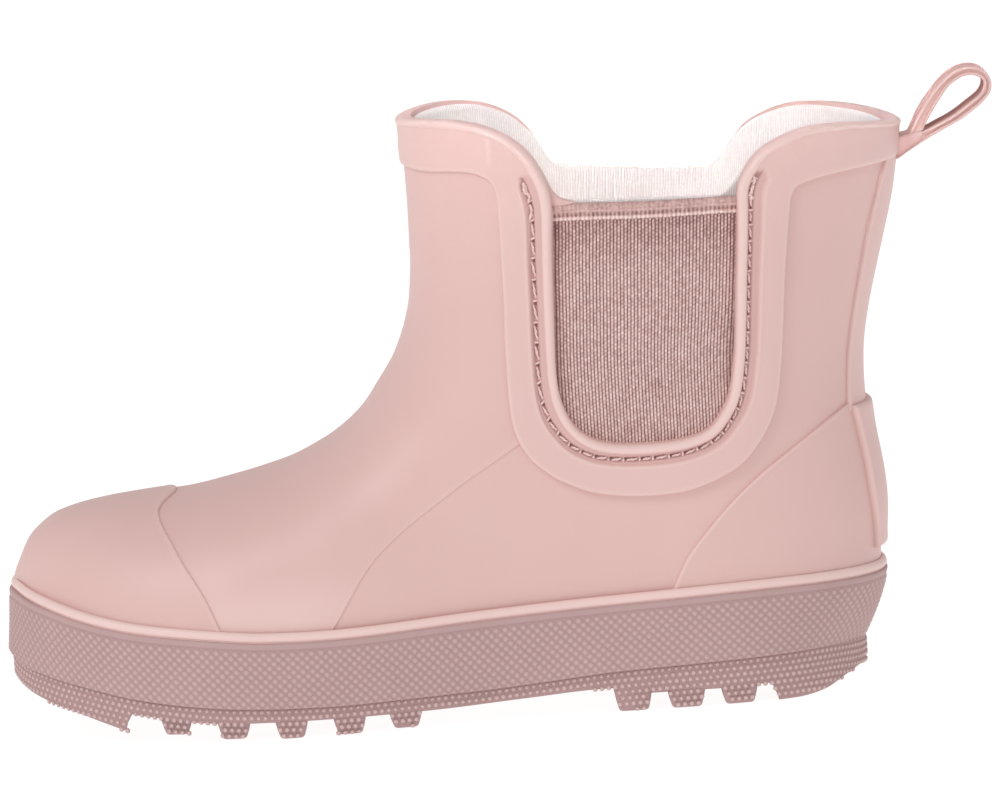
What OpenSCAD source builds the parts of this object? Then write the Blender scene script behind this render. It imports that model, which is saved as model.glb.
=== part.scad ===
// Child's ankle-high pull-on rain boot, left foot. Toe at -X, heel at +X, outer side at -Y, tread on z = 0.
// Every sheet of the upper is a patch of one shaped surface: a side-view place (x, z) gives its half width.

/* [Walls] */
// thickness of the rubber base sheets of the upper
wall = 2.2; // [1.2:0.1:3]
// how far the front sheet stands above the quarters it overlaps
front_step = 0.3; // [0.1:0.1:0.6]
// thickness of the toe cap and heel counter laid on the upper
overlay = 0.5; // [0.3:0.1:1.2]
// thickness of the strip up the back
strip_thk = 0.8; // [0.4:0.1:1.5]
// thickness of the lower back tab, over the counter
tab_thk = 1.3; // [0.6:0.1:2]
// how far the collar binding stands out of the upper
collar_thk = 1.1; // [0.6:0.1:2]
// thickness of the knitted lining
lining_thk = 1.0; // [0.6:0.1:2]
// air or adhesive line left between layers
gap = 0.1; // [0.05:0.01:0.2]
// line left between parts that meet edge to edge
seam = 0.15; // [0.1:0.01:0.3]

/* [Side panels] */
// thickness of the elastic webbing
elastic_thk = 1.2; // [0.8:0.1:2]
// thickness of the U-shaped frame round the elastic
frame_thk = 1.0; // [0.5:0.1:1.6]
// height of the rounded rim at the elastic's edge
rim_h = 1.3; // [0.6:0.1:2]
// distance from one stitch to the next
stitch_pitch = 3.1; // [2:0.1:5]
// length of one stitch
stitch_len = 2.3; // [1:0.1:4]
// height of the folded hem on top of the elastic
hem_h = 2.6; // [1.5:0.1:5]

/* [Sole] */
// how far the sidewall stands out of the upper
band_out = 2.3; // [1:0.1:5]
// radius of the bead between upper and sidewall
bead_r = 1.2; // [0.6:0.1:2]
// thickness of the outsole plate
plate_thk = 4.5; // [3:0.1:8]
// thickness of the insole board
board_thk = 1.4; // [0.8:0.1:3]
// thickness of the loose footbed
footbed_thk = 3.6; // [2:0.1:6]
// how far the tread stands in from the sidewall
tread_inset = 2; // [1:0.1:5]
// draft of a lug's sides over its height
lug_draft = 1.1; // [0.2:0.1:2]

/* [Pull loop] */
// width of the folded loop
loop_w = 11; // [8:1:26]
// running clearance round the loop's root
root_clear = 0.3; // [0.2:0.05:0.6]

/* [Detail] */
// rows along the front sheet
front_rows = 33; // [12:1:60]
// columns from centre line to edge
cols = 9; // [5:1:16]
// stations round the sole
sole_n = 72; // [36:4:120]

/* [Hidden] */

// ---- side-view profile of the upper, in mm ----
toe_x = -110.4;                 // foremost line of the upper
foot_z = 20;                    // lower edge of the upper, hidden behind the sidewall
hub = [-39, 118];               // rows of the instep fan out from here
top_line = [
    [-110.4, 30], [-109.9, 34], [-108.6, 37.4], [-106.3, 42], [-104, 44.5], [-100, 47.2], [-91.6, 49.4],
    [-79, 50.9], [-70, 51.6], [-62, 53.1], [-52.7, 55.3], [-45.2, 57.7], [-36.4, 62.4], [-30.5, 67.4]
];
instep_line = [
    [-52.7, 55.3], [-45.2, 57.7], [-36.4, 62.4], [-30.5, 67.4], [-26.6, 72.7], [-23.1, 77.9], [-20.7, 83.2],
    [-19, 88.5], [-17.8, 96.5], [-17.5, 104.6], [-17.4, 112.6], [-17.5, 118], [-17.6, 123], [-17.8, 132]
];
back_line = [
    [20, 81.5], [28, 81.9], [33.3, 82.1], [38.7, 82.5], [44.1, 82.4], [49.5, 81.8], [54.9, 81], [60, 80.5],
    [65.8, 80.2], [71.2, 80.3], [76.6, 80.8], [84.5, 82.4], [92.4, 84.5], [100.3, 86.7], [108.2, 88.8],
    [116, 90.2], [124, 91.2], [130, 91.6]
];
foot_width = [
    [-111, 36.5], [-80, 37.2], [-55, 37.6], [-35, 36], [-15, 32.6], [5, 30.4], [25, 29.8], [85, 30.6]
];
leg_width = [[20, 31], [45, 31.6], [60, 33.2], [80, 35.8], [100, 37.4], [118, 38.2], [134, 38.6]];

// ---- outlines of the side panel, front top round the bottom to rear top ----
frame_edge = [
    [2.4, 117.2], [2.5, 98], [1.9, 78], [2.2, 66.8], [4.9, 59], [9.6, 54.1], [14.4, 51.2], [19.8, 49.1],
    [29.3, 47.8], [40, 48.4], [49.6, 52], [55, 56.8], [59.4, 64.4], [61.4, 74.3], [63.4, 94.4], [65.3, 108.4],
    [66.8, 113.5]
];
groove_edge = [
    [8.9, 114.3], [8.8, 102], [8.1, 88], [7.7, 75.6], [8.5, 67.9], [11.6, 61.9], [14.9, 58.6], [19.8, 56.3],
    [29.7, 55], [39.8, 55.7], [47, 58.2], [51.8, 62.1], [54.6, 67.6], [56.4, 77.4], [57.3, 88], [58.4, 100],
    [59.3, 112.4]
];
rim_edge = [
    [11.8, 113.7], [11.3, 101], [10.7, 88], [10.5, 75.4], [11.5, 68.7], [13.9, 63.7], [17.4, 60.4],
    [21.6, 58.8], [30, 57.7], [39.6, 58.2], [45.6, 60.2], [49.6, 63.8], [52, 68.4], [53.5, 76.4],
    [54.6, 88], [55.4, 100], [56.2, 112.2]
];
gore_edge = [
    [14, 113.3], [13.3, 100], [12.8, 87], [12.6, 76.2], [13.3, 70.4], [15.4, 65.2], [18.6, 61.9], [23, 60.1],
    [30, 59.4], [38.8, 59.8], [44.6, 61.5], [48, 65], [50.2, 69.4], [51.6, 77], [52.6, 88], [53.6, 100],
    [54.3, 112.2]
];

// ---- sole ----
band_top = [
    [-113, 33], [-109.5, 32.9], [-106.5, 31.2], [-101.3, 29.5], [-94, 27.3], [-82, 24.7], [-66, 22.8],
    [-55, 21.7], [-36, 21.4], [-8, 22.7], [23, 24], [54, 25], [84, 24.8]
];
band_low = [
    [-113, 17.5], [-106, 15.5], [-99.4, 13.8], [-90.8, 11.8], [-71.3, 8.4], [-58.8, 7.3],
    [-42, 6.8], [-8, 7.7], [22, 9.3], [53, 10.2], [70, 10.1], [84, 9]
];
plate_low = [
    [-113, 14.6], [-100, 11.8], [-86, 7], [-79, 5.9], [-72, 4.8], [-60, 4], [-20, 4], [0, 4.5], [12, 4.5],
    [30, 4], [60, 4], [70, 4], [84, 6]
];
toe_low = [[-113, 16.6], [-110, 12.2], [-103, 8.6], [-95, 5.9], [-87, 3.2], [-84, 2.2]];
heel_low = [[50, 0], [62, 0], [69, 0.8], [74, 2.4], [79, 3.8], [84, 5]];
board_line = [[-113, 17.9], [-100, 16.8], [-85, 15.2], [-65, 14.2], [0, 14], [40, 14.6], [84, 15.4]];

// ---- loop ----
root = [94.5, 118.6];           // axis the loop bends on
root_r = 1.7;                   // radius of the loop's rounded root
loop_out = [
    [95, 120.2], [95.4, 123], [96.8, 125.9], [99, 128.8], [102.2, 132.2], [105.6, 134.4], [109.2, 134.7],
    [112, 133], [112.8, 130.4], [111.4, 127.5], [108.4, 125], [103.9, 122.3], [99.2, 120], [95.4, 117.2]
];
loop_in = [
    [97.4, 121.4], [98.6, 124], [100.8, 127.4], [103.4, 130.8], [105.9, 132.4], [108.8, 132.8], [110.6, 131.8],
    [110.9, 130.1], [109.2, 127.9], [105.3, 125.2], [100.5, 122.7], [98.6, 121.9]
];

// ---- curves ----
function clamp(x, a = 0, b = 1) = min(max(x, a), b);
function ease(x) = let (c = clamp(x)) c * c * (3 - 2 * c);
function unit(v) = v / max(norm(v), 1e-9);
function slope(p, i) = let (a = max(i - 1, 0), b = min(i + 1, len(p) - 1))
    (p[b][1] - p[a][1]) / (p[b][0] - p[a][0]);
function span_of(p, x, i = 0) = i >= len(p) - 2 || x < p[i + 1][0] ? i : span_of(p, x, i + 1);
// smooth value at x through a list of [x, value]
function curve(p, x0) = let (x = clamp(x0, p[0][0], p[len(p) - 1][0]), i = span_of(p, x),
    h = p[i + 1][0] - p[i][0], s = (x - p[i][0]) / h, q = 1 - s)
    p[i][1] * (1 + 2 * s) * q * q + slope(p, i) * h * s * q * q
    + p[i + 1][1] * s * s * (3 - 2 * s) - slope(p, i + 1) * h * s * s * q;
// smooth point at s = 0 to 1 along a list of points
function along(p, s) = let (n = len(p) - 1, k = clamp(floor(s * n), 0, n - 1), f = s * n - k,
    a = p[max(k - 1, 0)], b = p[k], c = p[k + 1], d = p[min(k + 2, n)])
    0.5 * (2 * b + (c - a) * f + (2 * a - 5 * b + 4 * c - d) * f * f + (3 * b - a - 3 * c + d) * f * f * f);
function mix(a, b, t) = a + (b - a) * t;
// distance covered at each point of a list
function covered(p, i = 0, s = 0) = i >= len(p) - 1 ? [s]
    : concat([s], covered(p, i + 1, s + norm(p[i + 1] - p[i])));
// rounded closing of a width, 0 at the edge and 1 at distance 1
function closing(q, n) = pow(1 - pow(1 - clamp(q), n), 1 / n);

// ---- the shaped surface ----
fan_line = [for (p = instep_line) if (p[1] < hub[1] - 0.1 || p[1] == hub[1])
    let (d = p - hub) [atan2(d[0], -d[1]), norm(d)]];
leg_front = [for (p = instep_line) if (p[1] > 104) [p[1], p[0]]];
function back_x(z) = curve(back_line, z);
// depth below the ridge or behind the front line
function depth(x, z) = x < hub[0] ? curve(top_line, x) - z
    : z > hub[1] ? x - curve(leg_front, z)
    : let (d = [x, z] - hub) norm(d) - curve(fan_line, atan2(d[0], -d[1]));
function dome(x, z) = mix(31, 50, ease((z - 50) / 55) * ease((x + 45) / 30));
function leg_share(x, z) = ease((z - 26) / 36) * ease((x + 50) / 40);
function base_w(x, z) = mix(curve(foot_width, x), curve(leg_width, z), leg_share(x, z));
heel_round = [48, 2.25];        // length and fullness of the rounding at the back
function half_w(x, z) = base_w(x, z) * closing((x - toe_x) / 52, 2.2)
    * closing(depth(x, z) / dome(x, z), 2.3) * closing((back_x(z) - x) / heel_round[0], heel_round[1]);
// centre line of the foot, bending to the big-toe side
function axis_y(x) = 4 * pow(clamp((-45 - x) / 65), 1.4);
function inside(x, z) = x < hub[0] ? [x + 8, 14] : [20, 62];
// outward normal of side s at a side-view place; s = 0 is the centre line
function normal(x, z, s) = let (p = [x, z] + 0.1 * unit(inside(x, z) - [x, z]), h = 0.04,
    wx = (half_w(p[0] + h, p[1]) - half_w(p[0] - h, p[1])) / (2 * h),
    wz = (half_w(p[0], p[1] + h) - half_w(p[0], p[1] - h)) / (2 * h),
    cx = (axis_y(p[0] + h) - axis_y(p[0] - h)) / (2 * h))
    unit(s == 0 ? [-wx, 0, -wz] : [-wx - s * cx, s, -wz]);
// p is [x, z, side], o the height above the surface
function at(p, o) = let (n = normal(p[0], p[1], p[2]))
    [p[0], axis_y(p[0]) + (p[2] == 0 ? 0 : p[2] * half_w(p[0], p[1])), p[1]] + o * n;

// ---- solids from grids ----
// quads of an m by n grid whose points start at k; f turns them over, w rings round in rows
function quads(m, n, k, f) = [for (i = [0:m - 2], j = [0:n - 2])
    let (a = k + i * n + j, b = a + 1, c = a + n + 1, d = a + n)
    each f ? [[a, b, c], [a, c, d]] : [[a, c, b], [a, d, c]]];
function rim_path(m, n, fold) = concat(
    fold ? [] : [for (j = [0:n - 1]) j],
    [for (i = [fold ? 0 : 1:m - 1]) i * n + n - 1],
    [for (j = [n - 2:-1:0]) (m - 1) * n + j],
    [for (i = [m - 2:-1:fold ? 0 : 1]) i * n]);
// a sheet between two heights over a grid of [x, z, side]; fold joins the two halves of its first row
module sheet(g, lo, hi, fold = false) {
    m = len(g);
    n = len(g[0]);
    top = [for (r = g, p = r) at(p, hi)];
    low = [for (r = g, p = r) at(p, lo)];
    mi = floor(m / 2);
    mj = floor(n / 4);
    c = mi * n + mj;
    mid = g[mi][mj];
    up = cross(top[c + 1] - top[c], top[c + n] - top[c]) * normal(mid[0], mid[1], mid[2]) < 0;
    path = rim_path(m, n, fold);
    q = m * n;
    walls = [for (i = [0:len(path) - (fold ? 2 : 1)])
        let (a = path[i], b = path[(i + 1) % len(path)])
        each up ? [[a, q + a, q + b], [a, q + b, b]] : [[a, q + b, q + a], [a, b, q + b]]];
    faces = concat(quads(m, n, 0, up), quads(m, n, q, !up), walls);
    merged = !fold ? faces : [for (t = faces) [for (v = t)
        v % q < n ? v - v % q + max(v % q, n - 1 - v % q) : v]];
    kept = !fold ? merged : [for (t = merged) if (t[0] != t[1] && t[1] != t[2] && t[0] != t[2]) t];
    polyhedron(concat(top, low), kept, convexity = 8);
}
// closed loops of points, one per station; ring joins the last station to the first
module loft(st, ring = false, flip = false) {
    m = len(st);
    n = len(st[0]);
    pts = [for (s = st, p = s) p];
    body = [for (i = [0:m - (ring ? 1 : 2)], j = [0:n - 1])
        let (k = (i + 1) % m, l = (j + 1) % n, a = i * n + j, b = i * n + l, c = k * n + l, d = k * n + j)
        each flip ? [[a, b, c], [a, c, d]] : [[a, c, b], [a, d, c]]];
    ends = ring ? [] : [for (j = [1:n - 2])
        each flip ? [[0, j + 1, j], [(m - 1) * n, (m - 1) * n + j, (m - 1) * n + j + 1]]
        : [[0, j, j + 1], [(m - 1) * n, (m - 1) * n + j + 1, (m - 1) * n + j]]];
    polyhedron(pts, concat(body, ends), convexity = 8);
}

// ---- rows of the upper ----
// point of the ridge and front line: 0 to 1 along the foot, 1 to 2 round the instep, 2 to 3 up the leg
function ridge(t) = t < 1 ? let (x = toe_x + (hub[0] - toe_x) * (1 - cos(90 * t))) [x, curve(top_line, x)]
    : t < 2 ? let (a = 90 * (t - 1), r = curve(fan_line, a)) hub + r * [sin(a), -cos(a)]
    : let (z = hub[1] + 14 * (t - 2)) [curve(leg_front, z), z];
// [ridge place, edge point]: the front sheet's rows from toe to collar
front_stops = [
    [0, toe_x, foot_z], [0.12, -109.2, foot_z], [0.24, -105.4, foot_z], [0.36, -99, foot_z],
    [0.48, -91, foot_z], [0.6, -81, foot_z], [0.7, -72, foot_z], [0.8, -61, foot_z], [0.9, -51, foot_z],
    [0.98, -42.5, foot_z], [1.08, -29.5, 38], [1.2, -12, 51.3], [1.32, 0.4, 59.2], [1.42, 9, 64.6],
    [1.5, 13.2, 70.8], [1.58, 12.6, 77.6], [1.68, 12.9, 88.5], [1.78, 13.3, 99.6], [1.88, 13.7, 107.4],
    [1.96, 14, 112.4]
];
function stop_at(s) = along(front_stops, s);
function front_row(s, v) = let (q = stop_at(s), a = ridge(clamp(q[0], 0, 3)),
    b = [max(q[1], toe_x), max(q[2], foot_z)]) mix(a, b, mix(1 - cos(90 * v), v, 0.15));
// the last rows bend up to meet the line top_z(x)
function front_grid(rows, c, top_z) = [for (i = [0:rows - 1]) [for (j = [-c:c])
    let (s = i / (rows - 1), p = front_row(s, abs(j) / c),
         z = mix(p[1], curve(top_z, p[0]), ease((s - 0.84) / 0.16)))
    [j == 0 && z > 104 ? curve(leg_front, z) : p[0], z, i == 0 ? 0 : sign(j)]]];
// share of the front rows that the toe cap covers, from ridge to sole
cap_edge = [[0, 0.307], [0.22, 0.287], [0.5, 0.31], [0.75, 0.34], [1, 0.362]];
function cap_grid(rows, c) = [for (i = [0:rows - 1]) [for (j = [-c:c])
    let (v = abs(j) / c, p = front_row(curve(cap_edge, v) * i / (rows - 1), v))
    [p[0], p[1], i == 0 ? 0 : sign(j)]]];
// perimeter of the rear: along the lower edge to the heel, then up the back
heel_x = 80;
function rear_edge(q) = q < heel_x ? [q, foot_z] : [back_x(foot_z + q - heel_x), foot_z + q - heel_x];
// [edge point, perimeter]: a quarter's rows from the front seam to the collar
quarter_stops = [
    [-42.3, foot_z, -41.3], [-29.3, 38, -18], [-11.6, 51.2, 10], [1, 59.2, 32], [9.2, 64.4, 46],
    [13.2, 69.6, 54], [15.6, 64.8, 60], [19, 61.5, 65], [23.5, 59.9, 70], [30, 59.3, 75],
    [38.8, 59.7, 80], [44.8, 61.4, 92], [48.4, 65.2, 106], [50.6, 70.4, 119], [51.7, 78, 131],
    [52.6, 88, 144], [53.4, 98, 156], [54, 107, 168], [54.4, 111.6, 176]
];
function quarter_grid(rows, c, side, top_z) = [for (i = [0:rows - 1])
    let (s = i / (rows - 1) * (len(quarter_stops) - 1), k = min(floor(s), len(quarter_stops) - 2),
         q = mix(quarter_stops[k], quarter_stops[k + 1], s - k), a = [q[0], q[1]], b = rear_edge(q[2]),
         back = ease((q[2] - 40) / 40), lift = ease((s - 16) / 2))
    [for (j = [0:c]) let (v = j / c, f = mix(v, sin(90 * v), back), p = mix(a, b, f),
         z = mix(p[1], curve(top_z, p[0]), lift), end = q[2] >= heel_x && j == c)
        [end ? back_x(z) : min(p[0], back_x(z) - 0.01), z, end ? 0 : side]]];
// rows of the collar from its lower line to the rim, both sides
function collar_front_grid(rows, c) = [for (i = [0:rows - 1]) [for (j = [-c:c])
    let (x = mix(-17.5, 13.9, 1 - cos(90 * abs(j) / c)),
         z = mix(curve(collar_low_front, x) + 2 * gap, curve(collar_high_front, x), i / (rows - 1)))
    [j == 0 ? curve(leg_front, z) : x, z, sign(j)]]];
function collar_rear_grid(rows, c) = [for (i = [0:rows - 1]) [for (j = [-c:c])
    let (x = mix(54.4, 90, sin(90 * (1 - abs(j) / c))),
         z = mix(curve(collar_low_rear, x) + 2 * gap, curve(collar_high_rear, x), i / (rows - 1)))
    [j == 0 ? back_x(z) : x, z, sign(j)]]];
// rows of [z, x of the edge], both sides and round the back
function wrap_grid(edge, z0, z1, rows, c, tilt = 0) = [for (i = [0:rows - 1])
    let (z = mix(z0, z1, i / (rows - 1)), xe = curve(edge, z), zb = z + tilt * (back_x(z) - xe))
    [for (j = [-c:c]) let (f = sin(90 * (1 - abs(j) / c)), zz = mix(z, zb, f))
        [mix(xe, back_x(zb), f) , zz, sign(j)]]];

collar_low_front = [
    [-19, 121.4], [-12, 120.7], [-5, 120.9], [-1, 120.2], [3, 117.6], [9, 114.6], [15, 113.6]
];
collar_high_front = [
    [-19, 131.7], [-12, 132.2], [-6, 132], [-0.6, 130.9], [6, 127.8], [10.7, 122.6], [13.9, 116.3]
];
collar_low_rear = [[54, 112.4], [60, 112.8], [68.4, 114], [76.4, 115.4], [84, 116], [92, 116.3]];
collar_high_rear = [[54.4, 114.2], [58, 120.2], [63.3, 124], [72.4, 126.3], [84, 125.6], [92, 124.2]];
counter_edge = [
    [foot_z, 32.4], [26, 34.9], [33.5, 38.9], [39, 43.5], [45, 49.3], [50.9, 56.3], [55.6, 63.3],
    [59.8, 70], [63.4, 76.4]
];
strip_edge = [[62, 76], [76.5, 77.2], [98.4, 81.9], [106.6, 84.2], [116.4, 87.6]];
tab_edge = [[29, 80], [35.6, 80.1], [42.1, 79.6], [50.7, 78.6], [61.8, 76.6]];

rubber_light = [0.86, 0.60, 0.59];
rubber_dark = [0.62, 0.42, 0.42];
knit_white = [0.93, 0.89, 0.88];
webbing = [0.66, 0.50, 0.49];

base_top = front_step + gap;
lining_top = -wall - 2 * gap;

module front_sheet() color(rubber_light)
    sheet(front_grid(front_rows, cols, collar_low_front), -wall, front_step, fold = true);
module quarter(side) color(rubber_light) sheet(quarter_grid(27, cols, side, collar_low_rear), -wall, 0);
module quarter_outer() quarter(-1);
module quarter_inner() quarter(1);
module toe_cap() color(rubber_light) sheet(cap_grid(12, cols), base_top, base_top + overlay, fold = true);
module heel_counter() color(rubber_light)
    sheet(wrap_grid(counter_edge, foot_z, 63.4, 12, cols), 3 * gap, 3 * gap + overlay);
module back_strip() color(rubber_light)
    sheet(wrap_grid(strip_edge, 65.4, 115.6, 12, 5), gap, gap + strip_thk);
module back_tab() color(rubber_light)
    sheet(wrap_grid(tab_edge, 30, 62.6, 9, 5), 4 * gap + overlay, 4 * gap + overlay + tab_thk);
module collar_front() color(rubber_light) sheet(collar_front_grid(4, 10), -wall, collar_thk);
module collar_rear() color(rubber_light) sheet(collar_rear_grid(4, 10), -wall, collar_thk);

// ---- side panels ----
// profile [across, height] swept along the strip between two outlines
module edge_strip(a, b, profile, n, side) {
    loft([for (i = [0:n - 1]) let (s = i / (n - 1), p = along(a, s), q = along(b, s))
        [for (c = profile) let (m = mix(p, q, c[0])) at([m[0], m[1], side], c[1])]], flip = side < 0);
}
module gore_frame(side) color(rubber_light)
    edge_strip(frame_edge, groove_edge, [
        [0, base_top], [0.33, base_top], [0.67, base_top], [1, base_top], [1, base_top + 0.7 * frame_thk],
        [0.93, base_top + frame_thk], [0.5, base_top + frame_thk], [0.07, base_top + frame_thk],
        [0, base_top + 0.7 * frame_thk]
    ], 33, side);
module gore_frame_outer() gore_frame(-1);
module gore_frame_inner() gore_frame(1);
module gore_rim(side) color(rubber_light)
    edge_strip(rim_edge, gore_edge, [
        [0, base_top], [0.5, base_top], [1, base_top], [1.04, base_top + 0.45 * rim_h],
        [0.85, base_top + 0.85 * rim_h], [0.5, base_top + rim_h], [0.18, base_top + 0.85 * rim_h],
        [-0.02, base_top + 0.45 * rim_h]
    ], 33, side);
module gore_rim_outer() gore_rim(-1);
module gore_rim_inner() gore_rim(1);
// point of the elastic: s down from the top, v from front edge to rear edge
gore_mid = [33, 90];
function gore_at(s, v) = let (a = along(gore_edge, s / 2), b = along(gore_edge, 1 - s / 2),
    p = mix(a, b, v)) mix(p, gore_mid, 0.02);
elastic_top = -1.2;             // height of the elastic's face, below the upper's
hem_low = elastic_top - elastic_thk - 0.2;
function gore_sheet(s0) = [for (i = [0:13]) [for (j = [0:6]) gore_at(mix(s0, 0.95, i / 13), j / 6)]];
function on_side(g, side) = [for (r = g) [for (p = r) [p[0], p[1], side]]];
module gore(side) color(webbing)
    sheet(on_side(gore_sheet(0.0375), side), elastic_top - elastic_thk, elastic_top);
module gore_outer() gore(-1);
module gore_inner() gore(1);
module gore_hem(side) color(webbing)
    sheet([for (i = [0:2]) [for (j = [0:6]) let (p = gore_at(0, j / 6)) [p[0], p[1] - hem_h * i / 2, side]]],
        hem_low, elastic_top + 0.4);
module gore_hem_outer() gore_hem(-1);
module gore_hem_inner() gore_hem(1);
stitch_path = [for (i = [0:64]) along([for (k = [0:16]) mix(groove_edge[k], rim_edge[k], 0.42)], i / 64)];
stitch_run = covered(stitch_path);
stitch_n = floor(stitch_run[64] / stitch_pitch);
stitch_size = [1, 0.7];         // width and thickness of one stitch
// place on the stitch line at a distance from its front top
function stitch_at(d) = along(stitch_path, lookup(d, [for (i = [0:64]) [stitch_run[i], i / 64]]));
module gore_stitches(side) color(rubber_light)
    for (i = [0:stitch_n - 1]) {
        d = stitch_run[64] * (i + 0.5) / stitch_n;
        p = stitch_at(d);
        q = stitch_at(d + 0.5);
        h = base_top + gap / 2 + stitch_size[1] / 2;
        n = normal(p[0], p[1], side);
        c = at([p[0], p[1], side], h);
        t0 = at([q[0], q[1], side], h) - c;
        t = unit(t0 - (t0 * n) * n);
        u = cross(n, t);
        multmatrix([[t[0], u[0], n[0], c[0]], [t[1], u[1], n[1], c[1]], [t[2], u[2], n[2], c[2]]])
            cube([stitch_len, stitch_size[0], stitch_size[1]], center = true);
    }
module gore_stitches_outer() gore_stitches(-1);
module gore_stitches_inner() gore_stitches(1);

// ---- lining ----
lining_drop = 0.8;              // how far the lining stops below the rim
function lowered(p, d) = [for (q = p) [q[0], q[1] - d]];
module lining_front() color(knit_white)
    sheet(front_grid(front_rows, cols, lowered(collar_high_front, lining_drop)),
        lining_top - lining_thk, lining_top, fold = true);
module lining_side(side) color(knit_white)
    sheet(quarter_grid(27, cols, side, lowered(collar_high_rear, lining_drop)),
        lining_top - lining_thk, lining_top);
module lining_outer() lining_side(-1);
module lining_inner() lining_side(1);
module gore_lining(side) color(knit_white)
    sheet(on_side(gore_sheet(0), side), hem_low - gap - lining_thk, hem_low - gap);
module gore_lining_outer() gore_lining(-1);
module gore_lining_inner() gore_lining(1);

// ---- sole ----
plan_z = 22;                    // height at which the sole follows the upper's outline
plan_x = [toe_x, curve(back_line, plan_z)];
function flat_unit(v) = unit([v[0], v[1]]);
// outline point at x on side s, o outside the upper
function plan_at(x, s, o) = let (n = flat_unit(normal(x, plan_z, s)), p = at([x, plan_z, s], 0))
    [p[0], p[1]] + o * n;
function plan_station(i) = let (a = 360 * i / sole_n, x = mix(plan_x[0], plan_x[1], (1 - cos(a)) / 2))
    [x, i == 0 || i * 2 == sole_n ? 0 : a < 180 ? -1 : 1];
// ring round the sole of a profile that gives [outset, height] points for x
module sole_ring(profile) {
    loft([for (i = [0:sole_n - 1]) let (q = plan_station(i))
        [for (c = profile(q[0])) let (p = plan_at(q[0], q[1], c[0])) [p[0], p[1], c[1]]]], ring = true);
}
upper_out = base_top + overlay + 0.2;       // clear of everything laid on the upper
band_in = -1.6;                             // inner face of the sidewall below the upper
function heel_in(x) = 4 * pow(ease((x - 45) / 35), 2);     // how far the tread draws in at the heel
function heel_tuck(x) = 1.4 * heel_in(x);   // the same at the sidewall's foot
sidewall = function (x) let (a = curve(band_low, x), b = curve(band_top, x)) [
    [band_out - 0.5 - heel_tuck(x), a], [band_out, mix(a, b, 0.75)], [band_out, b - 0.8], [band_out - 0.5, b],
    [upper_out, b], [upper_out, foot_z - 0.3], [band_in, foot_z - 0.3], [band_in - heel_tuck(x), a]
];
bead = function (x) let (b = curve(band_top, x) + bead_r + gap / 2) [for (k = [0:7])
    [upper_out + 0.42 - 0.42 * cos(45 * k), b + bead_r * sin(45 * k)]];
module foxing_bead() color(rubber_light) sole_ring(bead);
module sidewall_band() color(rubber_dark) sole_ring(sidewall);
// slab across the sole from x0 to x1, out(x) outside the upper, between two height functions of x
module slab(x0, x1, out, low, high, n) {
    loft([for (k = [0:n])
        let (x = mix(x0, x1, (1 - cos(180 * k / n)) / 2),
             a = plan_at(x, -1, out(x)), b = plan_at(x, 1, out(x)))
        [[a[0], a[1], low(a[0])], [b[0], b[1], low(b[0])],
         [b[0], b[1], high(b[0])], [a[0], a[1], high(a[0])]]]);
}
tip = 0.15;                     // a slab starts this far from the outline's ends
core_out = function (x) band_in - heel_tuck(x) - 3 * gap;    // edge of the parts inside the sidewall
tread_out = function (x) band_out - tread_inset - heel_in(x);
footbed_out = function (x) lining_top - lining_thk - 4 * gap;
heel_end = plan_x[1] - tip;
core_start = -106.5;            // front end of the parts inside the sidewall
// top of the outsole plate, a little lower at both ends, where it passes under the tapered sidewall
function plate_top(x) = curve(band_low, x) - seam - 0.1 * heel_in(x) - 0.5 * ease((-88 - x) / 14);
module outsole_plate() color(rubber_dark)
    slab(toe_x + tip, heel_end, tread_out, function (x) curve(plate_low, x),
        function (x) plate_top(x), 30);
module toe_block() color(rubber_dark)
    slab(toe_x + tip, -87, tread_out, function (x) curve(toe_low, x),
        function (x) curve(plate_low, x) - seam, 12);
module heel_block() color(rubber_dark)
    slab(56.4, heel_end, tread_out, function (x) max(0, curve(heel_low, x)),
        function (x) curve(plate_low, x) - seam, 10);
module midsole_filler() color(rubber_dark)
    slab(core_start, heel_end, core_out, function (x) curve(band_low, x),
        function (x) curve(board_line, x) - seam, 24);
module insole_board() color([0.72, 0.62, 0.5])
    slab(core_start, heel_end, core_out, function (x) curve(board_line, x),
        function (x) curve(board_line, x) + board_thk, 24);
module footbed() color(knit_white)
    slab(toe_x + tip, heel_end, footbed_out,
        function (x) curve(board_line, x) + board_thk + gap,
        function (x) curve(board_line, x) + board_thk + footbed_thk, 24);
// lug: x centre, half length at the top, floor height, y of its two ends
module lug(x, h, floor_z, y0, y1) {
    d = lug_draft;
    loft([for (q = [[y0, 0], [y0 + d / 2, 1], [y1 - d / 2, 1], [y1, 0]])
        [[x - h, q[0], curve(plate_low, x - h) - seam], [x + h, q[0], curve(plate_low, x + h) - seam],
         [x + h - d, q[0], q[1] == 1 ? floor_z : curve(plate_low, x) - 0.4],
         [x - h + d, q[0], q[1] == 1 ? floor_z : curve(plate_low, x) - 0.4]]], flip = true);
}
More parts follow.
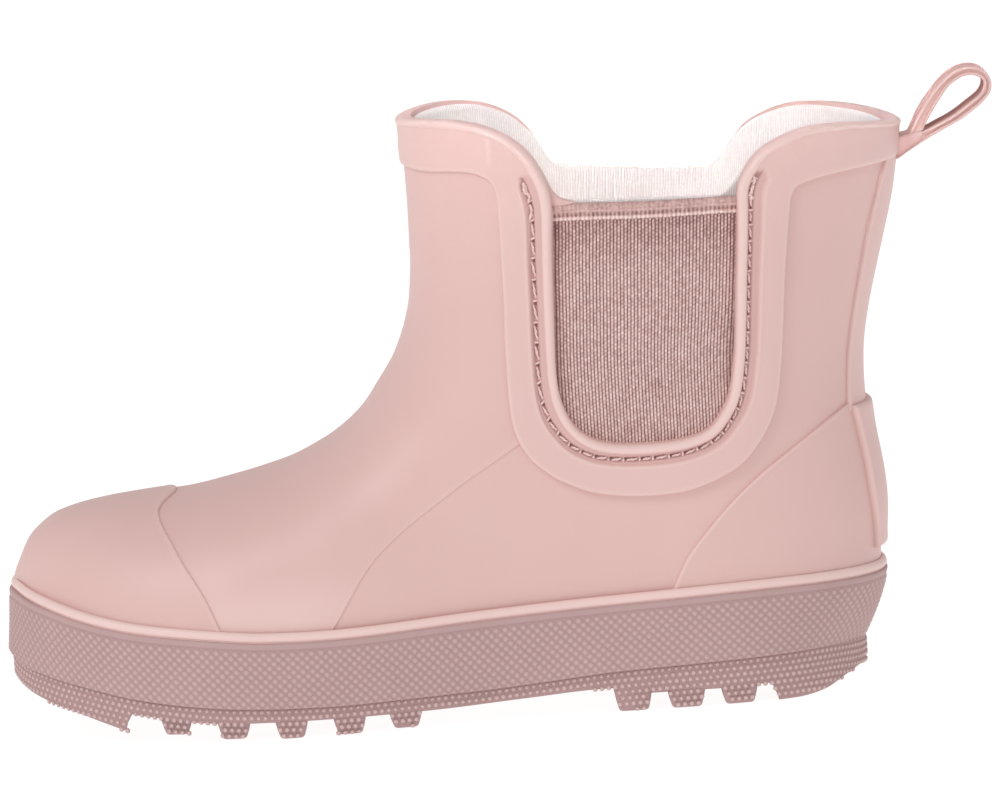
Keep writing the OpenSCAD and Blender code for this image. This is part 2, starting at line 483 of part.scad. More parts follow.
// a row of lugs: one at each edge of the tread and one in the middle between rows
module lug_row(x, h, floor_z, len, mid) {
    a = max(plan_at(x - h, -1, tread_out(x))[1], plan_at(x + h, -1, tread_out(x))[1]);
    b = min(plan_at(x - h, 1, tread_out(x))[1], plan_at(x + h, 1, tread_out(x))[1]);
    lug(x, h, floor_z, a + 0.1, a + len);
    lug(x, h, floor_z, b - len, b - 0.1);
    if (mid > 0) lug(x + mid, h, 0, (a + b) / 2 - len / 2, (a + b) / 2 + len / 2);
}
module forefoot_lugs() color(rubber_dark) {
    lug_row(-75.3, 3.6, 2, 17, 6.3);
    lug_row(-62.7, 3.8, 0.6, 19, 6.3);
    lug_row(-50.1, 3.8, 0, 20, 6.3);
    lug_row(-37.4, 3.8, 0, 19, 6.2);
    lug_row(-25.1, 3.8, 0.3, 17, 0);
}
module heel_lugs() color(rubber_dark) {
    lug_row(25, 4.4, 0, 15, 5.9);
    lug_row(36.7, 4.4, 0, 15, 5.9);
    lug_row(48.4, 4.3, 0, 15, 0);
}

// ---- pull loop ----
function smoothed(p, n) = [for (i = [0:n * (len(p) - 1)]) along(p, i / (n * (len(p) - 1)))];
root_arc = [for (a = [290:-15:80]) root + 0.95 * root_r * [cos(a), sin(a)]];
module pull_loop() color(rubber_light) rotate([90, 0, 0]) {
    difference() {
        linear_extrude(loop_w, center = true) polygon(concat(smoothed(loop_out, 3), root_arc));
        linear_extrude(loop_w + 2, center = true) polygon(smoothed(loop_in, 3));
    }
    translate([root[0], root[1], 0]) cylinder(r = root_r, h = loop_w, center = true, $fn = 48);
}
// x of the upper's rear surface at y and z
function back_at(y, z) = let (n = heel_round[1])
    back_x(z) - heel_round[0] * (1 - pow(1 - pow(abs(y) / curve(leg_width, z), n), 1 / n));
module loop_anchor() color(rubber_light) {
    seat = root_r + root_clear;
    loft([for (k = [-4:4]) let (y = loop_w / 2 * k / 4) concat(
        [for (z = [122, 120, 118, 116.6]) [back_at(y, z) + collar_thk + 0.25, y, z]],
        [[root[0] - 1.2, y, 116]],
        [for (a = [215, 198, 180, 162, 140]) [root[0] + seat * cos(a), y, root[1] + seat * sin(a)]])]);
}

front_sheet();
quarter_outer();
quarter_inner();
toe_cap();
heel_counter();
back_strip();
back_tab();
collar_front();
collar_rear();
gore_frame_outer();
gore_frame_inner();
gore_rim_outer();
gore_rim_inner();
gore_outer();
gore_inner();
gore_hem_outer();
gore_hem_inner();
gore_stitches_outer();
gore_stitches_inner();
lining_front();
lining_outer();
lining_inner();
gore_lining_outer();
gore_lining_inner();
foxing_bead();
sidewall_band();
outsole_plate();
toe_block();
forefoot_lugs();
heel_lugs();
heel_block();
midsole_filler();
insole_board();
footbed();
loop_anchor();
pull_loop();
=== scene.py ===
import math

import bmesh
import bpy
import numpy as np
from mathutils import Matrix, Vector

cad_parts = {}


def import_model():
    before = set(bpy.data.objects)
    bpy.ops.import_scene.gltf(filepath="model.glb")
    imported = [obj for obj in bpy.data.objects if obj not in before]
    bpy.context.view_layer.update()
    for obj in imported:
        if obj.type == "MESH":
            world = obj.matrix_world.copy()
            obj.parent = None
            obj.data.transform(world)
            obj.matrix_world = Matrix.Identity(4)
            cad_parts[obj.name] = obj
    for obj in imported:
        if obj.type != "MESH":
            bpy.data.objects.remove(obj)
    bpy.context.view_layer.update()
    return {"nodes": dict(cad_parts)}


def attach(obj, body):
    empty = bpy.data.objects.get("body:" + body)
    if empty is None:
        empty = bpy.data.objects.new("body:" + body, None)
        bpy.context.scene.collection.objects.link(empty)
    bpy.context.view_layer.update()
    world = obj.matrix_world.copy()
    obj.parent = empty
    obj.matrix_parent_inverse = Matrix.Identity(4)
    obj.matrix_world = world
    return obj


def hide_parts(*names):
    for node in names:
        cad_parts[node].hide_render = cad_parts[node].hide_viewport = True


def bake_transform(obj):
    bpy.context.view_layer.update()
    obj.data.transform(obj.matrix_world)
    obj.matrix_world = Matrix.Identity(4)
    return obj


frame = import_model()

MM = 0.001


# ------------ numbers and curves, in mm
def clamp(x, low=0.0, high=1.0):
    return np.clip(x, low, high)


def ease(x):
    """A smooth step from 0 at x = 0 to 1 at x = 1."""
    c = clamp(x)
    return c * c * (3 - 2 * c)


def mix(a, b, t):
    return a + (b - a) * t


def peak(x, at, width):
    """A smooth rise to 1 at one place."""
    return np.exp(-(((x - at) / width) ** 2))


def curve(points, x):
    """Smooth value at x through a list of (x, value)."""
    p = np.asarray(points, float)
    px, py = p[:, 0], p[:, 1]
    n = len(px)
    before, after = np.maximum(np.arange(n) - 1, 0), np.minimum(np.arange(n) + 1, n - 1)
    slope = (py[after] - py[before]) / (px[after] - px[before])
    x = np.clip(x, px[0], px[-1])
    i = np.clip(np.searchsorted(px, x, side="right") - 1, 0, n - 2)
    h = px[i + 1] - px[i]
    s = (x - px[i]) / h
    q = 1 - s
    return (
        py[i] * (1 + 2 * s) * q * q
        + slope[i] * h * s * q * q
        + py[i + 1] * s * s * (3 - 2 * s)
        - slope[i + 1] * h * s * s * q
    )


def along(points, s):
    """Smooth points at s = 0 to 1 along a list of points."""
    p = np.asarray(points, float)
    s = np.asarray(s, float)
    n = len(p) - 1
    k = np.clip(np.floor(s * n).astype(int), 0, n - 1)
    f = (s * n - k)[..., None]
    a, b, c, d = p[np.maximum(k - 1, 0)], p[k], p[k + 1], p[np.minimum(k + 2, n)]
    return 0.5 * (
        2 * b + (c - a) * f + (2 * a - 5 * b + 4 * c - d) * f * f + (3 * b - a - 3 * c + d) * f**3
    )


def lengths(p):
    """Distance covered at each point of a line of points."""
    return np.concatenate([[0], np.cumsum(np.linalg.norm(np.diff(p, axis=0), axis=1))])


def closing(q, n):
    """A width's share that rises from 0 at q = 0, round like an ellipse of power n, to 1 at q = 1."""
    return (1 - (1 - clamp(q)) ** n) ** (1 / n)


# ------------ the boot's shaped surface
TOE_X = -110.4
FOOT_Z = 20.0
HUB = (-39.0, 118.0)
TOP_LINE = [
    (-110.4, 30), (-109.9, 34), (-108.6, 37.4), (-106.3, 42), (-104, 44.5), (-100, 47.2), (-91.6, 49.4),
    (-79, 50.9), (-70, 51.6), (-62, 53.1), (-52.7, 55.3), (-45.2, 57.7), (-36.4, 62.4), (-30.5, 67.4),
]
INSTEP_LINE = TOP_LINE[-4:] + [
    (-26.6, 72.7), (-23.1, 77.9), (-20.7, 83.2), (-19, 88.5), (-17.8, 96.5), (-17.5, 104.6), (-17.4, 112.6),
    (-17.5, 118), (-17.6, 123), (-17.8, 132),
]
BACK_LINE = [
    (20, 81.5), (28, 81.9), (33.3, 82.1), (38.7, 82.5), (44.1, 82.4), (49.5, 81.8), (54.9, 81), (60, 80.5),
    (65.8, 80.2), (71.2, 80.3), (76.6, 80.8), (84.5, 82.4), (92.4, 84.5), (100.3, 86.7), (108.2, 88.8),
    (116, 90.2), (124, 91.2), (130, 91.6),
]
FOOT_WIDTH = [
    (-111, 36.5), (-80, 37.2), (-55, 37.6), (-35, 36), (-15, 32.6), (5, 30.4), (25, 29.8), (85, 30.6),
]
LEG_WIDTH = [(20, 31), (45, 31.6), (60, 33.2), (80, 35.8), (100, 37.4), (118, 38.2), (134, 38.6)]
FAN_LINE = [
    (math.degrees(math.atan2(x - HUB[0], HUB[1] - z)), math.hypot(x - HUB[0], z - HUB[1]))
    for x, z in INSTEP_LINE if z <= HUB[1]
]
LEG_FRONT = [(z, x) for x, z in INSTEP_LINE if z > 104]


def back_x(z):
    return curve(BACK_LINE, z)


def depth(x, z):
    """How far below the ridge, or behind the front line, a side-view place lies."""
    dx, dz = x - HUB[0], z - HUB[1]
    fan = np.hypot(dx, dz) - curve(FAN_LINE, np.degrees(np.arctan2(dx, -dz)))
    return np.where(
        x < HUB[0], curve(TOP_LINE, x) - z, np.where(z > HUB[1], x - curve(LEG_FRONT, z), fan)
    )


def half_w(x, z):
    """Half the boot's width at a side-view place, closing to 0 at its outline."""
    leg = ease((z - 26) / 36) * ease((x + 50) / 40)
    width = mix(curve(FOOT_WIDTH, x), curve(LEG_WIDTH, z), leg)
    dome = mix(31, 50, ease((z - 50) / 55) * ease((x + 45) / 30))
    return (
        width
        * closing((x - TOE_X) / 52, 2.2)
        * closing(depth(x, z) / dome, 2.3)
        * closing((back_x(z) - x) / 48, 2.25)
    )


def axis_y(x):
    """The middle line in plan: the toe bends inwards."""
    return 4 * clamp((-45 - x) / 65) ** 1.4


def normal(x, z, side):
    """Outward directions of the shaped surface, measured a little inside its outline."""
    ix = np.where(x < HUB[0], x + 8, 20) - x
    iz = np.where(x < HUB[0], 14, 62) - z
    r = np.hypot(ix, iz)
    x, z = x + 0.1 * ix / r, z + 0.1 * iz / r
    h = 0.04
    wx = (half_w(x + h, z) - half_w(x - h, z)) / (2 * h)
    wz = (half_w(x, z + h) - half_w(x, z - h)) / (2 * h)
    cx = (axis_y(x + h) - axis_y(x - h)) / (2 * h)
    n = np.stack([-wx - side * cx, side + 0 * wx, -wz], axis=-1)
    return n / np.maximum(np.linalg.norm(n, axis=-1, keepdims=True), 1e-9)


def skin(x, z, side, height=0.0):
    """Points of the shaped surface at side-view places, raised by height along its normal."""
    x, z, side, height = np.broadcast_arrays(
        np.asarray(x, float), np.asarray(z, float), np.asarray(side, float), np.asarray(height, float)
    )
    y = axis_y(x) + side * np.where(side == 0, 0, half_w(x, z))
    return np.stack([x, y, z], axis=-1) + height[..., None] * normal(x, z, side)


# ------------ meshes
def quads(m, n, start=0, wrap_rows=False, wrap_cols=False):
    """Faces of an m by n grid of points."""
    i = np.arange(m if wrap_rows else m - 1)[:, None]
    j = np.arange(n if wrap_cols else n - 1)[None, :]
    a, b = i * n + j, i * n + (j + 1) % n
    d, c = ((i + 1) % m) * n + j, ((i + 1) % m) * n + (j + 1) % n
    return np.stack([a, b, c, d], axis=-1).reshape(-1, 4) + start


def capped(m, n):
    """Faces of m rings of n points, closed at both ends."""
    ring = np.arange(n)[None]
    return [quads(m, n, 0, False, True), ring[:, ::-1], ring + (m - 1) * n]


def piece(
    name, points, faces, material, replaces=(), tone=None, rib=None,
    sharp=50, merge=0.002, slot=None, body="boot",
):
    """A closed, smooth-shaded mesh, with points in mm, that rides on a body unless body is None.
    The slot argument is not used."""
    mesh = bpy.data.meshes.new(name)
    points = np.asarray(points, float).reshape(-1, 3)
    loops = np.concatenate([np.asarray(f).reshape(-1) for f in faces])
    sizes = np.concatenate([np.full(len(f), np.asarray(f).shape[1]) for f in faces])
    mesh.vertices.add(len(points))
    mesh.vertices.foreach_set("co", (points * MM).reshape(-1))
    mesh.loops.add(len(loops))
    mesh.loops.foreach_set("vertex_index", loops.astype(np.int32))
    mesh.polygons.add(len(sizes))
    mesh.polygons.foreach_set("loop_start", np.concatenate([[0], np.cumsum(sizes)[:-1]]).astype(np.int32))
    mesh.update(calc_edges=True)
    for key, values in (("tone", tone), ("rib", rib)):
        if values is not None:
            layer = mesh.attributes.new(key, "FLOAT", "POINT")
            layer.data.foreach_set("value", np.asarray(values, np.float32).reshape(-1))
    bm = bmesh.new()
    bm.from_mesh(mesh)
    bmesh.ops.remove_doubles(bm, verts=bm.verts, dist=merge * MM)
    bmesh.ops.recalc_face_normals(bm, faces=bm.faces)
    bm.to_mesh(mesh)
    bm.free()
    mesh.polygons.foreach_set("use_smooth", np.ones(len(mesh.polygons), bool))
    mesh.set_sharp_from_angle(angle=math.radians(sharp))
    mesh.materials.append(material)
    o = bpy.data.objects.new(name, mesh)
    bpy.context.scene.collection.objects.link(o)
    if replaces:
        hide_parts(*replaces)
    if body:
        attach(o, body)
    return o


def ring_piece(name, grid, *args, **options):
    """A piece whose grid of points closes on itself both ways."""
    return piece(name, grid, [quads(*grid.shape[:2], 0, True, True)], *args, **options)


def spaced_lines(x, z, side, count, close=(0,)):
    """Lines of side-view places respaced evenly on the skin, with points that close to each line's end.
    Gives x, z and the distance left to the end."""
    close = np.array(sorted(close, reverse=True))
    step = np.linalg.norm(np.diff(skin(x, z, side), axis=1), axis=-1)
    run = np.concatenate([np.zeros((len(x), 1)), np.cumsum(step, axis=1)], axis=1)
    out = []
    for r, lx, lz in zip(run, x, z):
        even = np.linspace(0, max(r[-1] - close[0], 0.01), count)
        at = np.concatenate([even, r[-1] - close[1:]])
        out.append((np.interp(at, r, lx), np.interp(at, r, lz), r[-1] - at))
    return np.array(out).transpose(1, 0, 2)


EDGE = (0, 0.05, 0.13, 0.24, 0.4, 0.65)     # distances from a rounded edge that get a row of points


def rounded(distance, radius):
    """How far the surface drops at that distance from a rounded edge."""
    d = clamp(distance / radius)
    return radius * (1 - np.sqrt(np.maximum(1 - (1 - d) ** 2, 0)))


def mirrored(*grids):
    """Grids with columns from the centre line out, made to run across both sides, and each place's side."""
    rows, n = grids[0].shape
    side = np.tile(np.concatenate([-np.ones(n - 1), [0], np.ones(n - 1)]), (rows, 1))
    return [np.concatenate([a[:, :0:-1], a], axis=1) for a in grids] + [side]


def shell(x, z, side, high, low, open_start=False):
    """Points and faces of a closed sheet over a grid of side-view places, between two heights."""
    m, n = x.shape
    under = m * n
    number = np.arange(under).reshape(m, n)
    edges = [number[:, -1], number[-1, ::-1], number[::-1, 0]] + ([] if open_start else [number[0]])
    walls = [np.stack([a[:-1], a[1:], a[1:] + under, a[:-1] + under], axis=-1) for a in edges]
    points = np.concatenate([skin(x, z, side, height).reshape(-1, 3) for height in (high, low)])
    return points, [quads(m, n), quads(m, n, under)] + walls


def layer(name, x, z, side, high, low, tone, material, nodes=(), open_start=False, **options):
    """A sheet of the boot; tone colours its face, with the painted highlights and shade that its caller puts
    in it.
    """
    points, faces = shell(x, z, side, high, low, open_start)
    tone = np.concatenate([tone.ravel(), 0 * tone.ravel()])
    return piece(name, points, faces, material, nodes, tone, **options)


# ------------ materials
def srgb(r, g, b):
    return [((c / 255 + 0.055) / 1.055) ** 2.4 if c > 10 else c / 3294 for c in (r, g, b)]


def add(tree, kind, links=(), **settings):
    """A node with its settings; links are (input, value or output socket)."""
    node = tree.nodes.new(kind)
    for key, value in settings.items():
        setattr(node, key, value)
    for key, value in links:
        if isinstance(value, bpy.types.NodeSocket):
            tree.links.new(value, node.inputs[key])
        else:
            node.inputs[key].default_value = value
    return node


def shader(name, roughness, **inputs):
    """A new material with its node tree, its Principled node and the object's own coordinates."""
    m = bpy.data.materials.new(name)
    m.use_nodes = True
    tree = m.node_tree
    base = tree.nodes["Principled BSDF"]
    base.inputs["Roughness"].default_value = roughness
    for key, value in inputs.items():
        base.inputs[key.replace("_", " ")].default_value = value
    return m, tree, base, add(tree, "ShaderNodeTexCoord").outputs["Object"]


def noise(tree, place, scale, detail, roughness):
    settings = [("Vector", place), ("Scale", scale), ("Detail", detail), ("Roughness", roughness)]
    return add(tree, "ShaderNodeTexNoise", settings).outputs["Fac"]


def paint(tree, value, stops, target):
    """Colour a socket by a value, through stops of (value, colour)."""
    node = add(tree, "ShaderNodeValToRGB", [("Fac", value)])
    points = node.color_ramp.elements
    while len(points) < len(stops):
        points.new(0.5)
    for point, (at, colour) in zip(points, stops):
        point.position, point.color = at, (*colour, 1)
    tree.links.new(node.outputs["Color"], target)


def levels(tree, value, low, high, to_low, to_high):
    ends = [("From Min", low), ("From Max", high), ("To Min", to_low), ("To Max", to_high)]
    return add(tree, "ShaderNodeMapRange", [("Value", value)] + ends).outputs["Result"]


def maths(tree, kind, *values):
    return add(tree, "ShaderNodeMath", enumerate(values), operation=kind).outputs[0]


def from_mesh(tree, name):
    return add(tree, "ShaderNodeAttribute", attribute_name=name).outputs["Fac"]


def bump(tree, base, heights):
    """Bumps one after another; heights are (height socket, strength, distance in mm)."""
    last = None
    for height, strength, distance in heights:
        settings = [("Height", height), ("Strength", strength), ("Distance", distance * MM)]
        node = add(tree, "ShaderNodeBump", settings + ([("Normal", last)] if last else []))
        last = node.outputs["Normal"]
    tree.links.new(last, base.inputs["Normal"])


def tinted(name, dark, mid, light, roughness, patch, grain, grain_depth, spread=0.06):
    """A moulded rubber or a yarn: colour by the mesh's tone, which carries painted highlights and painted
    shade, and by slow patches, and a fine grain.
    """
    m, tree, base, place = shader(name, roughness)
    slow = noise(tree, place, patch, 4, 0.6)
    fine = noise(tree, place, grain, 2, 0.5)
    value = maths(tree, "ADD", from_mesh(tree, "tone"), levels(tree, slow, 0.25, 0.75, -spread, spread))
    stops = [(0, dark), (0.5, mid), (1, light)]
    paint(tree, levels(tree, value, -1, 1, 0, 1), stops, base.inputs["Base Color"])
    rough = levels(tree, maths(tree, "ADD", slow, fine), 0.6, 1.4, roughness - 0.07, roughness + 0.08)
    tree.links.new(rough, base.inputs["Roughness"])
    bump(tree, base, [(slow, 0.25, 0.25), (fine, 0.5, grain_depth)])
    return m


# The dark and light ends of these colours are reached mostly through the painted shade and painted highlights
# in the pieces' tone.
rubber_upper = tinted(
    "rubber_upper", srgb(196, 150, 147), srgb(222, 184, 179), srgb(238, 208, 202), 0.47, 45, 2600, 0.012
)
rubber_sole = tinted(
    "rubber_sole", srgb(142, 108, 106), srgb(185, 153, 151), srgb(210, 181, 178), 0.62, 60, 2200, 0.02, 0.1
)
thread = tinted(
    "thread", srgb(128, 86, 84), srgb(228, 192, 188), srgb(246, 222, 218), 0.7, 300, 3000, 0.03, 0.2
)


def webbing_material():
    """Elastic webbing: its ribs and beads come with the mesh's tone, which paints shade in the gaps and
    highlights on the beads; its yarn's specks come from here.
    """
    m, tree, base, place = shader("elastic_webbing", 0.85, Sheen_Weight=0.25, Sheen_Roughness=0.5)
    speck = noise(tree, place, 1500, 2, 0.6)
    slow = noise(tree, place, 90, 3, 0.6)
    value = maths(tree, "ADD", from_mesh(tree, "tone"), levels(tree, speck, 0.3, 0.7, -0.28, 0.28))
    value = maths(tree, "ADD", value, levels(tree, slow, 0.3, 0.7, -0.06, 0.06))
    stops = [(0, srgb(128, 92, 88)), (0.45, srgb(206, 168, 163)), (1, srgb(250, 228, 222))]
    paint(tree, levels(tree, value, -1, 1, 0, 1), stops, base.inputs["Base Color"])
    bump(tree, base, [(speck, 0.5, 0.08)])
    return m


def knit_material(name, light, dark, pitch, dots):
    """A fine knit: ribs follow the mesh's own rib coordinate, dots are small loops."""
    m, tree, base, place = shader(name, 0.9, Sheen_Weight=0.3, Sheen_Roughness=0.6)
    wave = maths(tree, "SINE", maths(tree, "MULTIPLY", from_mesh(tree, "rib"), 2 * math.pi / pitch))
    speck = noise(tree, place, dots, 2, 0.7)
    slow = noise(tree, place, 70, 3, 0.6)
    value = maths(tree, "ADD", levels(tree, wave, -1, 1, 0, 0.6), speck)
    value = maths(tree, "ADD", value, levels(tree, slow, 0.3, 0.7, -0.1, 0.1))
    paint(tree, levels(tree, value, 0.2, 1.2, 0, 1), [(0, dark), (1, light)], base.inputs["Base Color"])
    bump(tree, base, [(wave, 0.5, 0.15), (speck, 0.5, 0.12)])
    return m


webbing = webbing_material()
knit = knit_material("knit_lining", srgb(250, 244, 242), srgb(226, 212, 209), 0.62, 1600)
footbed_cloth = knit_material("footbed_fabric", srgb(240, 226, 222), srgb(206, 184, 180), 1.1, 1100)


# ------------ upper: the sheets
BASE_TOP = 0.3                  # face of the front sheet above the quarters
COLLAR_LOW_FRONT = [(-19, 121.4), (-12, 120.7), (-5, 120.9), (-1, 120.2), (3, 117.6), (9, 114.6), (15, 113.6)]
COLLAR_LOW_REAR = [(54, 112.4), (60, 112.8), (68.4, 114), (76.4, 115.4), (84, 116), (92, 116.3)]
# lines across the front sheet: a place on the ridge, and x and z of the sheet's edge there
FRONT_STOPS = [
    (0, TOE_X, FOOT_Z), (0.12, -109.2, FOOT_Z), (0.24, -105.4, FOOT_Z), (0.36, -99, FOOT_Z),
    (0.48, -91, FOOT_Z), (0.6, -81, FOOT_Z), (0.7, -72, FOOT_Z), (0.8, -61, FOOT_Z), (0.9, -51, FOOT_Z),
    (0.98, -42.5, FOOT_Z), (1.08, -29.5, 38), (1.2, -12, 51.2), (1.32, 0.6, 59.2), (1.42, 8.7, 64.6),
    (1.5, 12.7, 70.8), (1.58, 12.1, 77.6), (1.68, 12.4, 88.5), (1.78, 12.8, 99.6), (1.88, 13.2, 107.4),
    (1.96, 13.5, 112.4),
]
CAP_EDGE = [(0, 0.307), (0.22, 0.287), (0.5, 0.31), (0.75, 0.34), (1, 0.362)]
# lines across the quarter: x and z of its edge, and a place along its foot and then up its back
QUARTER_STOPS = [
    (-43.2, FOOT_Z, -42.2), (-30.2, 38.6, -19), (-12.4, 52, 9), (0.4, 60, 31), (8.4, 64.4, 46),
    (12.4, 68.8, 54), (15, 64.2, 60), (18.6, 60.9, 65), (23.3, 59.3, 70), (30, 58.7, 75), (39, 59.1, 80),
    (45.2, 60.8, 92), (49, 64.8, 106), (51.2, 70.2, 119), (52.4, 78, 131), (53.3, 88, 144),
    (54.1, 98, 156), (54.7, 107, 168), (55, 111.6, 176),
]
HEEL_X = 80.0                   # where the foot of the quarter turns up the back
SHEET_BACK = -2.2               # inner face of the rubber sheets


def ridge(t):
    """Places on the ridge: 0 to 1 along the foot, 1 to 2 round the instep, 2 to 3 up the leg."""
    t = np.asarray(t, float)
    fx = TOE_X + (HUB[0] - TOE_X) * (1 - np.cos(np.radians(90 * clamp(t))))
    turn = 90 * clamp(t - 1)
    r = curve(FAN_LINE, turn)
    lz = HUB[1] + 14 * (t - 2)
    x = np.where(t < 1, fx, np.where(t < 2, HUB[0] + r * np.sin(np.radians(turn)), curve(LEG_FRONT, lz)))
    z = np.where(t < 1, curve(TOP_LINE, fx), np.where(t < 2, HUB[1] - r * np.cos(np.radians(turn)), lz))
    return x, z


FINE = np.linspace(0, 1, 420)


def front_ends(s):
    """The ridge's place and the edge's place at s along the front sheet, 0 at the toe and 1 at the collar."""
    q = along(FRONT_STOPS, s)
    return (*ridge(clamp(q[..., 0], 0, 3)), np.maximum(q[..., 1], TOE_X), np.maximum(q[..., 2], FOOT_Z))


def front_sheet():
    s = np.linspace(0, 1, 170)
    ax, az, bx, bz = (end[:, None] for end in front_ends(s))
    x, z = mix(ax, bx, FINE**2.3), mix(az, bz, FINE**2.3)
    z = mix(z, curve(COLLAR_LOW_FRONT, x) + 0.6, ease((s - 0.84) / 0.16)[:, None])
    x, z, left = spaced_lines(x, z, -1.0, 40, EDGE)
    x[:, 0] = np.where(z[:, 0] > 104, curve(LEG_FRONT, z[:, 0]), x[:, 0])
    x, z, left, side = mirrored(x, z, left)
    side[0] = 0
    # Painted sheen: the vamp's lower front is made lighter; the edge term is a painted highlight along the
    # sheet's rounded edge.
    painted_sheen = 0.45 * ease((38 - z) / 12) * ease((-20 - x) / 30)
    tone = painted_sheen + 0.35 * peak(left, 0, 0.5)
    high = BASE_TOP - rounded(left, 0.35)
    layer("vamp_sheet", x, z, side, high, SHEET_BACK, tone, rubber_upper, ["front_sheet"], open_start=True)


def toe_cap():
    across = np.linspace(0, 1, 46) ** 1.6
    v = np.interp(across, mix(1 - np.cos(np.radians(90 * FINE)), FINE, 0.15), FINE)
    ax, az, bx, bz = front_ends(curve(CAP_EDGE, v)[:, None] * FINE)
    x, z = mix(ax, bx, across[:, None]), mix(az, bz, across[:, None])
    lines = spaced_lines(x, z, -1.0, 60, EDGE + (1.0, 1.5))
    x, z, left, side = mirrored(*(a.T for a in lines))
    side[0] = 0
    high = BASE_TOP + 0.55 - rounded(left, 0.5) + 0.1 * peak(left, 0.7, 0.5)
    # Painted highlight along the cap's rounded edge.
    tone = 0.4 * peak(left, 0.3, 0.4) - 0.02
    layer("toe_cap_skin", x, z, side, high, BASE_TOP - 0.25, tone, rubber_upper, ["toe_cap"], open_start=True)


def quarter(side, name, node):
    last = len(QUARTER_STOPS) - 1
    s = np.linspace(0, last, 150)
    k = np.minimum(s.astype(int), last - 1)
    stops = np.array(QUARTER_STOPS)
    ax, az, foot = mix(stops[k], stops[k + 1], (s - k)[:, None]).T[:, :, None]
    bz = np.where(foot < HEEL_X, FOOT_Z, FOOT_Z + foot - HEEL_X)
    bx = np.where(foot < HEEL_X, foot, back_x(bz))
    f = 1 - (1 - FINE) ** 2.25
    x, z = mix(ax, bx, f), mix(az, bz, f)
    z = mix(z, curve(COLLAR_LOW_REAR, x) + 0.6, ease((s - last + 2) / 2)[:, None])
    x, z, left = spaced_lines(np.minimum(x, back_x(z)), z, side, 44, (0, 0.2))
    sides = np.where((left < 1e-6) & (foot > HEEL_X), 0.0, side)
    layer(name, x, z, sides, 0.0, SHEET_BACK, 0 * x, rubber_upper, [node])


def wrap(name, edge, low, high, rows, top, radius, node, lip=0.0, ends=False):
    """A sheet round the back between an edge line x(z) and its mirror image; ends rounds its two ends too."""
    z = np.linspace(low, high, rows)
    if ends:
        z = np.sort(np.concatenate([z, low + np.array(EDGE[1:]), high - np.array(EDGE[1:])]))
    edge_x = np.minimum(curve(edge, z), back_x(z) - 0.02)
    x = mix(back_x(z)[:, None], edge_x[:, None], FINE**2.25)
    x, z, left = spaced_lines(x, z[:, None] + 0 * x, -1.0, 26, EDGE + (1.0, 1.5))
    x, z, left, side = mirrored(x, z, left)
    near = np.minimum(left, np.minimum(z - low, high - z)) if ends else left
    face = top - rounded(near, radius) + lip * peak(near, 0.75, 0.55)
    # The tone is a painted highlight along the rounded edges.
    layer(name, x, z, side, face, -0.2, 0.42 * peak(near, 0.3, 0.5), rubber_upper, [node])


COUNTER_EDGE = [
    (18, 31.9), (FOOT_Z, 32.4), (26, 34.9), (33.5, 38.9), (39, 43.5), (45, 49.3), (50.9, 56.3), (55.6, 63.3),
    (59.8, 70), (63.2, 76), (64.8, 80.1), (65.2, 81),
]
STRIP_EDGE = [(60, 75.9), (62, 76), (76.5, 77.2), (98.4, 81.9), (106.6, 84.2), (118, 88)]
TAB_EDGE = [(29, 80), (35.6, 80.1), (42.1, 79.6), (50.7, 78.6), (61.8, 76.6), (63, 76.4)]

front_sheet()
toe_cap()
quarter(-1.0, "quarter_outer_skin", "quarter_outer")
quarter(1.0, "quarter_inner_skin", "quarter_inner")
wrap("heel_counter_skin", COUNTER_EDGE, FOOT_Z, 65.1, 90, 0.6, 0.5, "heel_counter", lip=0.16)
wrap("back_strip_skin", STRIP_EDGE, 61.5, 117.0, 70, 0.85, 0.6, "back_strip", lip=0.05)
wrap("back_tab_skin", TAB_EDGE, 30.0, 62.6, 44, 2.2, 1.1, "back_tab", ends=True)


# ------------ binding: collar, panel frame and rim in one
FRONT_NOMINAL, REAR_NOMINAL = -17.6, 91.0
BIND_OUT = [
    (-17.6, 121.3), (-12, 120.7), (-7, 120.9), (-2.6, 120.6), (0.4, 119.3), (1.9, 117.4), (2.5, 114.5),
    (2.6, 110.5), (2.55, 106), (2.5, 100), (2.4, 92), (2, 82), (2.2, 66.8), (4.9, 59), (9.6, 54.1),
    (14.4, 51.2), (19.8, 49.1), (29.3, 47.8), (40, 48.4), (49.6, 52), (55, 56.8), (59.4, 64.4),
    (61.4, 74.3), (62.4, 84),
    (63.4, 94.4), (64.6, 104), (65.4, 109.6), (65.6, 111), (66.1, 112.4), (67.1, 113.6), (69, 114.3),
    (71.5, 114.9), (74.6, 115.4), (80, 115.9), (86, 116.2), (91, 116.4),
]
BIND_IN = [
    (-17.6, 131.7), (-12, 132.2), (-6.5, 132.1), (-0.6, 130.9), (4.4, 128.7), (8, 126), (10.9, 122.4),
    (13.2, 117.4), (13.9, 112.5), (13.4, 103), (13, 93), (12.7, 83), (12.6, 76.2), (13.3, 70.4), (15.4, 65.2),
    (18.6, 61.9), (23, 60.1), (30, 59.4), (38.8, 59.8), (44.6, 61.5), (48, 65), (50.2, 69.4), (51.6, 77),
    (52.3, 84.5), (53, 94), (53.7, 103), (54.1, 109.5), (54.5, 114.5), (56.4, 118.4), (59.4, 121.8),
    (63.3, 124), (68, 125.7), (73, 126.4), (80, 126.1), (86, 125.3), (91, 124.3),
]
BIND_N = len(BIND_OUT) - 1
GROOVE_ENDS = (6.05, 28.35)     # stations where the stitched groove starts and stops
GROOVE_SHARE = [(0, 0.54), (12, 0.54), (17.5, 0.6), (23, 0.54), (35, 0.54)]
RIM_SHARE = [(0, 0.87), (4, 0.86), (8, 0.83), (17.5, 0.84), (24, 0.82), (31, 0.87), (35, 0.88)]
STITCH_SHARE = [(6, 0.635), (12, 0.642), (14.5, 0.68), (17.5, 0.735), (21, 0.755), (30, 0.76)]


